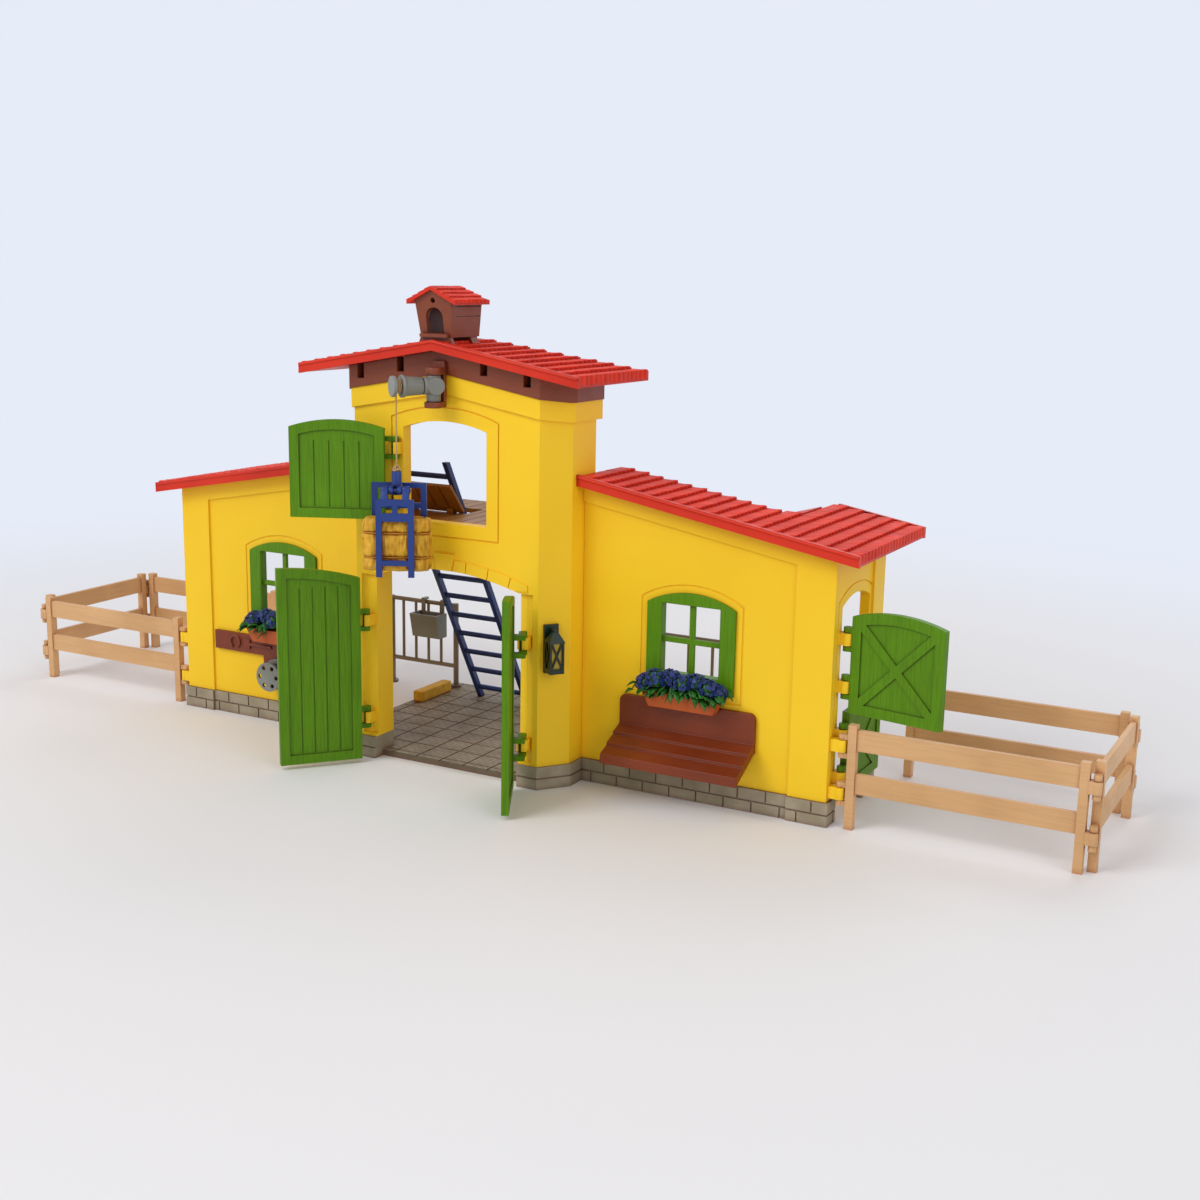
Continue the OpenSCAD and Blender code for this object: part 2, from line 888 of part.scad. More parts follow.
module tool_board() {
    mid = (tool_z[0] + tool_z[1]) / 2;
    face = -tool_t;
    color("saddlebrown") {
        box([tool_x[0], face, tool_z[0]], [tool_x[1], 0, tool_z[1]]);
        box([hanger_x[0], face, 26], [hanger_x[1], 0, tool_z[0]]);
        along_y(face - 1.2, face) {
            translate([shoe_x, mid + 0.6]) difference() {
                circle(5.2);
                circle(3);
                translate([-1.8, -8]) square([3.6, 8]);
            }
            translate([-184, mid - 1]) square([20, 2]);
            translate([-188, mid - 3.4]) square([5, 6.8]);
        }
    }
}

reel_pos = [-159, 35];
reel_y = [-13.6, -3.4];
reel_r = 10.2;
reel_hub_r = 4;
hose_r = 1.15;
hose_turns = 3;
hose_layers = 2;

// spool on an axle that stands out of the hanger plate
module hose_reel() {
    color("gray") translate([reel_pos[0], 0, reel_pos[1]]) rotate([90, 0, 0]) {
        translate([0, 0, tool_t]) cylinder(r = reel_hub_r, h = -reel_y[0] - tool_t);
        translate([0, 0, -reel_y[1] - 0.8]) cylinder(r = reel_r + 0.6, h = 2);
        difference() {
            translate([0, 0, -reel_y[0] - 2]) cylinder(r = reel_r, h = 2);
            for (i = [0:5]) {
                rotate(60 * i) translate([7, 0, -reel_y[0] - 3]) cylinder(r = 1.5, h = 4);
            }
        }
    }
}

// ring of wound hose between the flanges
module hose_winding() {
    color("midnightblue") translate([reel_pos[0], 0, reel_pos[1]]) rotate([90, 0, 0])
        translate([0, 0, -reel_y[0] - 2 - hose_turns * 2 * hose_r]) difference() {
            cylinder(r = reel_hub_r + 2 * hose_layers * hose_r, h = hose_turns * 2 * hose_r);
            translate([0, 0, -1]) cylinder(r = reel_hub_r, h = hose_turns * 2 * hose_r + 2);
        }
}

// ---- dovecote ----
cote_y = [-44.5, -10];
cote_lean = 4.5;
cote_half = [10.8, 12.8];
cote_base = ridge_z + 2.4;
cote_eave_half = 17;
cote_h = 29.8;
cote_ridge_z = cote_base + cote_h;
cote_roof_t = 2.2;
cote_slope = 0.5;
cote_hip = 21;

// dovecote space below a gable line lowered by drop
module cote_gable(half, z0, drop) {
    top = cote_ridge_z - drop;
    polygon([
        [-half[0], z0],
        [half[0], z0],
        [half[1], top - half[1] * cote_slope],
        [0, top],
        [-half[1], top - half[1] * cote_slope]
    ]);
}

module dovecote_box() {
    arch_z = cote_base + 2.4;
    color("sienna") {
        difference() {
            intersection() {
                along_y(cote_y[0], cote_y[1]) cote_gable(cote_half, cote_base, cote_roof_t);
                along_x(-20, 20) polygon([
                    [cote_y[0] + cote_lean, cote_base],
                    [cote_y[1], cote_base],
                    [cote_y[1], cote_ridge_z],
                    [cote_y[0] - 0.5, cote_ridge_z]
                ]);
                cote_under_hip();
            }
            along_y(cote_y[0] - 1, cote_y[1] + 1) {
                translate([0, arch_z + 9]) circle(6);
                translate([-6, arch_z]) square([12, 9]);
                translate([0, cote_base + 0.72 * cote_h]) circle(1.6);
            }
            along_y(cote_y[0] + cote_lean + 1.8, cote_y[1] - 1.8)
                polygon([
                    [-9, arch_z],
                    [9, arch_z],
                    [11, cote_base + 0.64 * cote_h],
                    [0, cote_base + 0.82 * cote_h],
                    [-11, cote_base + 0.64 * cote_h]
                ]);
            for (k = [0.2, 0.4, 0.6], s = [-1, 1]) {
                z = cote_base + k * cote_h;
                box([s * 14 - 2.6, cote_y[0] + cote_lean + 3, z], [s * 14 + 2.6, cote_y[1] - 1.5, z + 0.6]);
            }
        }
        box([-9.5, cote_y[0] + 0.8, cote_base], [9.5, cote_y[0] + cote_lean + 2, cote_base + 2]);
        for (s = saddle_ys) {
            along_y(s[0], s[1]) difference() {
                polygon([[-10.4, cote_base + eps], [10.4, cote_base + eps],
                    [saddle_half - 0.6, ridge_z - saddle_half * roof_slope],
                    [-saddle_half + 0.6, ridge_z - saddle_half * roof_slope]]);
                verge_profile_both(tile_step);
            }
        }
    }
}

// the tower roof surface raised by rise, as a solid profile
module verge_profile_both(rise) {
    polygon([
        [-tower_eave, 0],
        [tower_eave, 0],
        [tower_eave, ridge_z - tower_eave * roof_slope + rise],
        [0, ridge_z + rise],
        [-tower_eave, ridge_z - tower_eave * roof_slope + rise]
    ]);
}

// everything in front of the sloping hip at the back of the dovecote
module cote_under_hip(drop = cote_roof_t) {
    back = cote_y[1] + 2;
    along_x(-30, 30) polygon([
        [cote_y[0] - 10, cote_base - 10],
        [back, cote_base - 10],
        [back, cote_ridge_z - cote_eave_half * cote_slope - drop],
        [back - cote_hip + 4, cote_ridge_z - drop],
        [cote_y[0] - 10, cote_ridge_z - drop]
    ]);
}

module dovecote_roof() {
    courses = 4;
    w = cote_eave_half / courses;
    tops = [for (i = [0:courses - 1], e = [0, 1])
        [(i + e) * w, cote_ridge_z - (i + e) * w * cote_slope + e * 0.5]];
    color("tomato") difference() {
        intersection() {
            along_y(cote_y[0] - 1.8, cote_y[1] + 2) both_halves2d() polygon(concat(
                [[0, cote_ridge_z - cote_roof_t - 8]],
                tops,
                [[cote_eave_half, cote_ridge_z - cote_eave_half * cote_slope - cote_roof_t]]
            ));
            cote_under_hip(-0.6);
        }
        intersection() {
            along_y(cote_y[0] - 5, cote_y[1] + 5) cote_gable([30, 30], 200, cote_roof_t);
            cote_under_hip();
        }
        box([-30, -60, ridge_z], [30, 10, cote_ridge_z - cote_eave_half * cote_slope - cote_roof_t - eps]);
    }
}

module both_halves2d() {
    children();
    mirror([1, 0]) children();
}

// ---- loft floor, hatch and ladder ----
loft_top = 155;
loft_t = 3;
loft_back = 85;
hatch_x = [-tower_half + wall_t + 2.2, -25];
hatch_y = [30, 51.5];
flap_open = 130;
flap_t = 2;
flap_pin_r = 1.1;
flap_axis_z = loft_top + 2;
ladder_lean = 0.56;
ladder_foot_y = 120.7;
ladder_x = [hatch_x[0] + 5, hatch_x[1] - 5.3];
ladder_top = 190;
rung_pitch = 15.2;
rung_start = 12.6;

module loft_floor() {
    knuckle = 5;
    color("peru") {
        difference() {
            union() {
                translate([0, 0, loft_top - loft_t]) linear_extrude(loft_t) intersection() {
                    tower_plan(-wall_t, tower_back + 1);
                    translate([-big, front_y + casing_depth]) square([2 * big, big]);
                }
                box([-tower_half + wall_t, tower_back, loft_top - loft_t],
                    [tower_half - wall_t, loft_back, loft_top]);
            }
            box([hatch_x[0], hatch_y[0], 0], [hatch_x[1], hatch_y[1], big]);
            for (x = [-70:10:70]) {
                box([x - 0.4, front_y, loft_top - 0.6], [x + 0.4, loft_back + 1, loft_top + 1]);
            }
        }
        for (x = [hatch_x[0] + 10, hatch_x[1] - 10]) {
            translate([x, hatch_y[0] - 2, flap_axis_z]) difference() {
                union() {
                    along_x(-knuckle / 2, knuckle / 2) circle(flap_pin_r + 1.3);
                    box([-knuckle / 2, -flap_pin_r - 1.3, loft_top - flap_axis_z - eps],
                        [knuckle / 2, flap_pin_r + 1.3, 0]);
                }
                along_x(-10, 10) circle(flap_pin_r + pin_gap);
            }
        }
    }
}

// flap drawn standing open at the angle of the photograph
module hatch_flap() {
    knuckle = 5;
    reach = hatch_y[1] - hatch_y[0] + 2;
    color("peru") translate([0, hatch_y[0] - 2, flap_axis_z]) rotate([flap_open, 0, 0]) {
        along_x(hatch_x[0] + 1, hatch_x[1] - 1) circle(flap_pin_r);
        difference() {
            box([hatch_x[0] + 0.6, -flap_pin_r, -flap_pin_r], [hatch_x[1] - 0.6, reach, flap_t - flap_pin_r]);
            for (x = [hatch_x[0] + 10, hatch_x[1] - 10]) {
                box([x - knuckle / 2 - 0.5, -5, -5], [x + knuckle / 2 + 0.5, flap_pin_r + 2, 5]);
            }
            for (x = [hatch_x[0] + 10:10:hatch_x[1] - 5]) {
                box([x - 0.4, 3.4, flap_t - flap_pin_r - 0.5], [x + 0.4, reach + 1, 5]);
            }
        }
        for (x = [hatch_x[0] + 10, hatch_x[1] - 10]) {
            along_x(x - knuckle / 2 - 0.6, x + knuckle / 2 + 0.6) circle(flap_pin_r);
        }
    }
}

module ladder() {
    rail_w2 = 3.4;
    rail_d = 4.4;
    rung_r = 1.8;
    color("navy") {
        for (x = ladder_x) {
            along_x(x - rail_w2 / 2, x + rail_w2 / 2) polygon([
                [ladder_foot_y - ladder_lean * floor_t - rail_d / 2, floor_t],
                [ladder_foot_y - ladder_lean * floor_t + rail_d / 2, floor_t],
                [ladder_foot_y - ladder_lean * ladder_top + rail_d / 2, ladder_top],
                [ladder_foot_y - ladder_lean * ladder_top - rail_d / 2, ladder_top]
            ]);
        }
        for (z = [rung_start:rung_pitch:ladder_top - 6]) {
            translate([0, ladder_foot_y - ladder_lean * z, z])
                along_x(ladder_x[0], ladder_x[1]) circle(rung_r);
        }
    }
}

// ---- stalls behind the tower ----
gate_y = 130;
gate_r = 1.5;
gate_top = 68;
gate_low = 20;
left_gate = [100, 158, 11.4];
right_gate = [72, 126, 18];

// tube along X with round ends
module tube_x(x0, x1, z, r = gate_r) {
    translate([0, gate_y, z]) along_x(x0, x1) circle(r);
}

module tube_z(x, z0, z1, r = gate_r) {
    translate([x, gate_y, z0]) cylinder(r = r, h = z1 - z0);
}

// tube gate from a post on the floor plate to a post on the ground: [first post, last post, bar pitch]
module stall_gate(span) {
    inner = span[0];
    outer = span[1];
    pitch = span[2];
    n = floor((outer - inner - 8) / pitch);
    tube_z(inner, floor_t, gate_top, 2);
    tube_z(outer, 0, gate_top, 2);
    translate([inner, gate_y, floor_t]) cylinder(r = 4, h = 2);
    translate([outer, gate_y, 0]) cylinder(r = 4, h = 2);
    tube_x(inner, outer, gate_top - 1.6, 1.6);
    tube_x(inner, outer, gate_low, 1.6);
    for (i = [1:n]) {
        tube_z(inner + 2 + i * pitch, gate_low, gate_top - 1.6, 1.1);
    }
}

module stall_gate_left() {
    color("gray") mirror([1, 0, 0]) stall_gate(left_gate);
}

module stall_gate_right() {
    color("gray") stall_gate(right_gate);
}

trough_x = [-131, -107];
trough_z = [42, 60];

module feed_trough() {
    t = 1.6;
    y0 = gate_y - 2 - 14;
    color("silver") {
        difference() {
            along_x(trough_x[0], trough_x[1]) polygon([
                [y0, trough_z[1]],
                [y0 + 4, trough_z[0]],
                [gate_y - 2, trough_z[0]],
                [gate_y - 2, trough_z[1]]
            ]);
            along_x(trough_x[0] + t, trough_x[1] - t) polygon([
                [y0 + t, trough_z[1] + 1],
                [y0 + 4 + t, trough_z[0] + t],
                [gate_y - 2 - t, trough_z[0] + t],
                [gate_y - 2 - t, trough_z[1] + 1]
            ]);
        }
        for (x = [trough_x[0] + 2, trough_x[1] - 5]) {
            box([x, gate_y - 3, gate_top + 0.2], [x + 3, gate_y + 2.4, gate_top + 1.8]);
            box([x, gate_y - 3.2, trough_z[1] - 3], [x + 3, gate_y - 1.9, gate_top + 1.8]);
        }
    }
}

module stall_base() {
    color("goldenrod") {
        box([-104, 80, floor_t], [-96, 118, floor_t + 8]);
    }
}

// ---- lantern on the right chamfer ----
lantern_along = 0.38;
lantern_at = [tower_flat + lantern_along * (tower_half - tower_flat),
    front_y + lantern_along * (chamfer_y - front_y)];
lantern_z = [74, 103.7];
lantern_half = 4.6;
lantern_base_z = 78;
lantern_top_z = 94;
glass_half = 3.4;

module lantern_place() {
    translate([lantern_at[0], lantern_at[1], 0]) rotate([0, 0, chamfer_turn]) children();
}

module lantern_frame() {
    cy = -2 - lantern_half;
    pane = [2 * glass_half, lantern_top_z - lantern_base_z];
    color("darkgreen") lantern_place() {
        box([-lantern_half, -2, lantern_z[0]], [lantern_half, 0, lantern_z[1]]);
        translate([0, cy, 0]) {
            box([-lantern_half, -lantern_half, lantern_base_z - 3], [lantern_half, lantern_half, lantern_base_z]);
            translate([0, 0, lantern_top_z]) rotate([0, 0, 45])
                cylinder(r1 = lantern_half * sqrt(2) + 0.8, r2 = 2.6, h = 6, $fn = 4);
            translate([0, 0, lantern_top_z + 6]) cylinder(r = 1.6, h = 1.6);
            for (x = [-1, 1], y = [-1, 1]) {
                translate([x * (lantern_half - 0.6), y * (lantern_half - 0.6), lantern_base_z - eps])
                    translate([-0.6, -0.6, 0]) cube([1.2, 1.2, pane[1] + 2 * eps]);
            }
            for (a = [0, 90, 270], s = [-1, 1]) {
                rotate([0, 0, a]) translate([0, -glass_half - 0.01 - 0.6, (lantern_base_z + lantern_top_z) / 2])
                    rotate([0, s * atan2(pane[0], pane[1]), 0]) cube([0.9, 1.2, norm(pane)], center = true);
            }
        }
    }
}

module lantern_glass() {
    color("lightyellow") lantern_place() translate([-glass_half, -2 - lantern_half - glass_half, lantern_base_z])
        cube([2 * glass_half, 2 * glass_half, lantern_top_z - lantern_base_z]);
}

// ---- crane ----
post_y = -43;
post_r = 4.3;
post_z = [234.3, 249.7];
pivot_r = 2;
pivot_len = 2.8;
arm_r = 5.2;
drum_s = [7.4, 26.4];
neck_s = [20.6, 24];
neck_r = 3;
rope_r = 0.55;
drum_pin_r = 2;
grab_turn = 28.3;

rope_reach = (neck_s[0] + neck_s[1]) / 2;
rope_side = neck_r + rope_r;
rope_x = -rope_reach * sin(crane_yaw) - rope_side * cos(crane_yaw);
rope_y = post_y - rope_reach * cos(crane_yaw) + rope_side * sin(crane_yaw);

// children drawn along +Z are laid along the crane arm
module along_arm() {
    translate([0, post_y, crane_z]) rotate([0, 0, -crane_yaw]) rotate([90, 0, 0]) children();
}

module crane_bracket() {
    back = front_y - frieze_proud;
    cap_r = 5.6;
    cap_t = 3.6;
    color("sienna") difference() {
        union() {
            box([-4, post_y + 5.2, post_z[0] - 0.3 - cap_t], [4, back, 258]);
            translate([0, post_y, post_z[0] - 0.3 - cap_t]) cylinder(r = cap_r, h = cap_t);
            box([-4, post_y, post_z[0] - 0.3 - cap_t], [4, back, post_z[0] - 0.3]);
            translate([0, post_y, post_z[1] + 0.3]) cylinder(r = cap_r - 0.6, h = 4.4);
            box([-4, post_y, post_z[1] + 0.3], [4, back, post_z[1] + 4.7]);
        }
        translate([0, post_y, post_z[0] - pivot_len - 0.2])
            cylinder(r = pivot_r + pin_gap, h = post_z[1] - post_z[0] + 2 * pivot_len + 0.4);
    }
}

module crane_head() {
    color("gray") difference() {
        union() {
            translate([0, post_y, post_z[0] - pivot_len])
                cylinder(r = pivot_r, h = post_z[1] - post_z[0] + 2 * pivot_len);
            translate([0, post_y, post_z[0]]) cylinder(r = post_r, h = post_z[1] - post_z[0]);
            along_arm() cylinder(r = arm_r, h = drum_s[0] - 0.4);
            translate([0, post_y, crane_z]) rotate([0, 0, 90 - crane_yaw]) rotate([90, 0, 0])
                cylinder(r = arm_r, h = 5.4);
        }
        along_arm() translate([0, 0, 0.4]) cylinder(r = drum_pin_r + pin_gap, h = drum_s[0]);
    }
}

module winch_drum() {
    color("gray") along_arm() {
        translate([0, 0, 0.8]) cylinder(r = drum_pin_r, h = drum_s[0]);
        translate([0, 0, drum_s[0]]) cylinder(r1 = 5.2, r2 = 6, h = neck_s[0] - 2 - drum_s[0]);
        translate([0, 0, neck_s[0] - 2]) cylinder(r = 6.75, h = 2);
        translate([0, 0, neck_s[0]]) cylinder(r = neck_r, h = neck_s[1] - neck_s[0]);
        translate([0, 0, neck_s[1]]) cylinder(r = 6.25, h = drum_s[1] - neck_s[1]);
    }
}

// ---- bale grab ----
bale_half = 21;
bale_depth = 18;
bale_h = 32.1;
hub_r = 3;
grab_pin_r = 1.2;
frame_t = 2.4;
rear_half = 16.7;
front_half = 11.4;
leg_w = 3.6;
rear_foot_z = bale_z - 0.4;
jaw_foot_z = bale_z - 2.7;
bale_top = bale_z + bale_h;
hub_z = [bale_top + 13.8, bale_top + 27.9];
jaw_axis = [-5.8, bale_top + 17];
rear_top = bale_top + 19.7;

module grab_place() {
    translate([rope_x, rope_y, 0]) rotate([0, 0, grab_turn]) children();
}

module hoist_rope() {
    color("burlywood") translate([rope_x, rope_y, hub_z[1]])
        cylinder(r = rope_r, h = crane_z - hub_z[1], $fn = 24);
}

// hub, rear fork and the ears that carry the jaw
module grab_hanger() {
    back = bale_depth / 2 + 0.2;
    color("navy") grab_place() {
        translate([0, 0, hub_z[0]]) cylinder(r = hub_r, h = hub_z[1] - hub_z[0]);
        box([-2.4, 0, hub_z[0]], [2.4, back + frame_t, hub_z[0] + 5]);
        along_y(back, back + frame_t) difference() {
            union() {
                translate([-rear_half, rear_foot_z]) square([2 * rear_half, rear_top - rear_foot_z]);
            }
            translate([-rear_half + leg_w, 0]) square([2 * (rear_half - leg_w), bale_top + 4]);
            translate([-rear_half + leg_w, bale_top + 7.4])
                square([2 * (rear_half - leg_w), rear_top - 3.2 - bale_top - 7.4]);
        }
        for (s = [-1, 1]) {
            translate([0, jaw_axis[0], jaw_axis[1]])
                along_x(s * 2.6 - 1.2, s * 2.6 + 1.2) circle(grab_pin_r + 1.3);
            box([s * 2.6 - 1.2, jaw_axis[0], jaw_axis[1] - 2.5], [s * 2.6 + 1.2, 0, jaw_axis[1] + 2.5]);
        }
        translate([0, jaw_axis[0], jaw_axis[1]]) along_x(-9, 9) circle(grab_pin_r);
    }
}

// front fork, turning on the pin of the hanger
module grab_jaw() {
    face = -bale_depth / 2 - 0.2;
    color("navy") grab_place() {
        difference() {
            for (s = [-1, 1]) {
                translate([0, jaw_axis[0], jaw_axis[1]])
                    along_x(s * 6.4 - 2, s * 6.4 + 2) circle(grab_pin_r + 1.4);
                along_x(s * 6.4 - 2, s * 6.4 + 2) polygon([
                    [jaw_axis[0] - 1.5, jaw_axis[1] + 2],
                    [jaw_axis[0] - 1.5, jaw_axis[1] - 2.2],
                    [face, bale_top + 8],
                    [face - frame_t, bale_top + 8],
                    [face - frame_t, bale_top + 12.2]
                ]);
            }
            translate([0, jaw_axis[0], jaw_axis[1]]) along_x(-12, 12) circle(grab_pin_r + pin_gap);
        }
        along_y(face - frame_t, face) {
            for (s = [-1, 1]) {
                translate([s * (front_half - leg_w / 2) - leg_w / 2, jaw_foot_z])
                    square([leg_w, bale_top + 12.2 - jaw_foot_z]);
            }
            translate([-front_half, bale_top + 8.4]) square([2 * front_half, 3.8]);
            translate([-front_half, bale_top - 1]) square([2 * front_half, 4.9]);
            translate([-front_half, bale_z + 4.4]) square([2 * front_half, 3.1]);
            translate([-1.6, bale_top]) square([3.2, 10]);
        }
    }
}

module hay_bale() {
    color("goldenrod") grab_place() box([-bale_half, -bale_depth / 2, bale_z],
        [bale_half, bale_depth / 2, bale_top]);
}

// ---- fences ----
post_w = 5;
fence_rail_t = 3;
fence_rails = [[21.9, 33.7], [47.4, 59.7]];
fence_gap = 6.5;

function panel_reach(len) = len + 2 * fence_gap;

// panel along +X, hung at the origin, carrying the next axis at panel_reach(len)
module fence_panel(len) {
    for (x = [fence_gap, fence_gap + len]) {
        box([x - post_w / 2, -post_w / 2, 0], [x + post_w / 2, post_w / 2, post_h]);
    }
    for (r = fence_rails) {
        box([fence_gap, -fence_rail_t / 2, r[0]], [fence_gap + len, fence_rail_t / 2, r[1]]);
    }
    for (z = fence_clip_z) {
        translate([0, 0, z]) pin_bracket(fence_pin_r, fence_gap - post_w / 2 + eps);
        translate([panel_reach(len), 0, z]) clip_ring(fence_pin_r, fence_gap - post_w / 2 + eps);
    }
}

corner_1 = [fence_axis[0] + panel_reach(long_panel), fence_axis[1]];
left_lean = 2;

function corner_2(lean) = corner_1 + panel_reach(side_panel) * [sin(lean), cos(lean)];

module fence_front() {
    translate([fence_axis[0], fence_axis[1], 0]) fence_panel(long_panel);
}

module fence_side(lean = 0) {
    translate([corner_1[0], corner_1[1], 0]) rotate([0, 0, 90 - lean]) fence_panel(side_panel);
}

module fence_back(lean = 0) {
    at = corner_2(lean);
    translate([at[0], at[1], 0]) rotate([0, 0, 180]) fence_panel(long_panel);
}

module fence_right_front() {
    color("burlywood") fence_front();
}

module fence_right_side() {
    color("burlywood") fence_side();
}

module fence_right_back() {
    color("burlywood") fence_back();
}

module fence_left_front() {
    color("burlywood") mirror([1, 0, 0]) fence_front();
}

module fence_left_side() {
    color("burlywood") mirror([1, 0, 0]) fence_side(left_lean);
}

module fence_left_back() {
    color("burlywood") mirror([1, 0, 0]) fence_back(left_lean);
}

// ---- parts ----

tower_wall();
tower_plinth();
tower_frieze();
tower_roof();
floor_plate();
front_wall_right();
front_wall_left();
end_wall_right();
end_wall_left();
plinth_right();
plinth_left();
wing_roof_right();
wing_roof_left();
dovecote_box();
dovecote_roof();
crane_bracket();
loft_floor();
ladder();
window_right();
window_left();
flower_box_right();
flower_box_left();
flowers_right();
flowers_left();
bench();
tool_board();
hose_reel();
hose_winding();
stall_gate_left();
stall_gate_right();
feed_trough();
stall_base();
lantern_frame();
lantern_glass();
front_door_left();
front_door_right();
loft_door();
side_door_upper();
side_door_lower();
hatch_flap();
crane_head();
winch_drum();
hoist_rope();
grab_hanger();
grab_jaw();
hay_bale();
fence_right_front();
fence_right_side();
fence_right_back();
fence_left_front();
fence_left_side();
fence_left_back();
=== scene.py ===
import json
import math
import random

import bpy
from mathutils import Matrix, Vector, noise


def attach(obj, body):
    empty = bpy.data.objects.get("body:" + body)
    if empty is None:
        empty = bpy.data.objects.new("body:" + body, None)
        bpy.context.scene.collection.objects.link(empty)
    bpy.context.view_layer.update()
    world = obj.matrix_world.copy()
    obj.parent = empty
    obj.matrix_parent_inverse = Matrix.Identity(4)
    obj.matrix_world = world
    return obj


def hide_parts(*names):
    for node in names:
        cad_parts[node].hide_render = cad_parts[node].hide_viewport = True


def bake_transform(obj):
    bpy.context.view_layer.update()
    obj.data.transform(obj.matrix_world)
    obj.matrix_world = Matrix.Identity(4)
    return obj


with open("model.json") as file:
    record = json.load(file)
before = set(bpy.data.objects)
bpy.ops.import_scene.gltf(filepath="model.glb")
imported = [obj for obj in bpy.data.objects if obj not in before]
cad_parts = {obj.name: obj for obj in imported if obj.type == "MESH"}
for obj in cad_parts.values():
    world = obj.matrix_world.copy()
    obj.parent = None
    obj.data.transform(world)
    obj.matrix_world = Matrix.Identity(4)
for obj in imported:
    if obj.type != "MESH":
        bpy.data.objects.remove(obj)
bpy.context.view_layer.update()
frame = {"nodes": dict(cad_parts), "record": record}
NODES = frame["nodes"]
MM = 0.001


# ---- camera at the photograph's viewing angle ----
CAMERA_ANGLES = (28.330, 11.959, 1.030)     # turn to the right, tilt down and roll, in degrees
CAMERA_AT = (0.528634, -0.810050, 0.311121)
CAMERA_LENS = 46.3674                       # millimetres on a sensor 36 wide


def add_camera():
    az, pitch, roll = (math.radians(a) for a in CAMERA_ANGLES)
    ahead = Vector((-math.sin(az) * math.cos(pitch), math.cos(az) * math.cos(pitch), -math.sin(pitch)))
    right = Vector((math.cos(az), math.sin(az), 0))
    up = right.cross(ahead)
    right_r = right * math.cos(roll) + up * math.sin(roll)
    up_r = up * math.cos(roll) - right * math.sin(roll)
    data = bpy.data.cameras.new("camera")
    data.lens, data.sensor_width = CAMERA_LENS, 36
    data.clip_start, data.clip_end = 0.01, 50
    cam = bpy.data.objects.new("camera", data)
    cam.matrix_world = Matrix((
        (right_r.x, up_r.x, -ahead.x, CAMERA_AT[0]),
        (right_r.y, up_r.y, -ahead.y, CAMERA_AT[1]),
        (right_r.z, up_r.z, -ahead.z, CAMERA_AT[2]),
        (0, 0, 0, 1)))
    bpy.context.scene.collection.objects.link(cam)
    bpy.context.scene.camera = cam


add_camera()


# ---- materials ----
def lin(code):
    """A hex colour as linear RGB."""
    out = []
    for i in (0, 2, 4):
        c = int(code[i:i + 2], 16) / 255
        out.append(c / 12.92 if c < 0.04045 else ((c + 0.055) / 1.055) ** 2.4)
    return out


class Nodes:
    """Small helper that adds and links shader nodes."""

    def __init__(self, name):
        self.mat = bpy.data.materials.new(name)
        self.mat.use_nodes = True
        self.tree = self.mat.node_tree
        self.shader = self.tree.nodes["Principled BSDF"]
        self.coord = self.add("ShaderNodeTexCoord").outputs["Object"]

    def add(self, kind, **settings):
        node = self.tree.nodes.new(kind)
        for key, value in settings.items():
            setattr(node, key, value)
        return node

    def link(self, a, b):
        self.tree.links.new(a, b)

    def stretched(self, scale):
        node = self.add("ShaderNodeMapping")
        node.inputs["Scale"].default_value = scale
        self.link(self.coord, node.inputs["Vector"])
        return node.outputs["Vector"]

    def noise(self, scale, detail=3.0, rough=0.55, vector=None):
        node = self.add("ShaderNodeTexNoise")
        node.inputs["Scale"].default_value = scale
        node.inputs["Detail"].default_value = detail
        node.inputs["Roughness"].default_value = rough
        self.link(vector if vector is not None else self.coord, node.inputs["Vector"])
        return node.outputs["Fac"]

    def ramp(self, fac, low, high, a=0.0, b=1.0):
        node = self.add("ShaderNodeMapRange", clamp=True)
        for key, value in (("From Min", low), ("From Max", high), ("To Min", a), ("To Max", b)):
            node.inputs[key].default_value = value
        self.link(fac, node.inputs["Value"])
        return node.outputs["Result"]

    def mix(self, fac, a, b, blend="MIX"):
        node = self.add("ShaderNodeMix", data_type="RGBA", blend_type=blend)
        for socket, value in ((node.inputs["Factor"], fac), (node.inputs[6], a), (node.inputs[7], b)):
            if isinstance(value, (int, float)):
                socket.default_value = value
            elif isinstance(value, (list, tuple)):
                socket.default_value = (*value[:3], 1)
            else:
                self.link(value, socket)
        return node.outputs[2]

    def bump(self, height, depth, normal=None):
        node = self.add("ShaderNodeBump")
        node.inputs["Strength"].default_value = 1.0
        node.inputs["Distance"].default_value = depth
        self.link(height, node.inputs["Height"])
        if normal is not None:
            self.link(normal, node.inputs["Normal"])
        return node.outputs["Normal"]


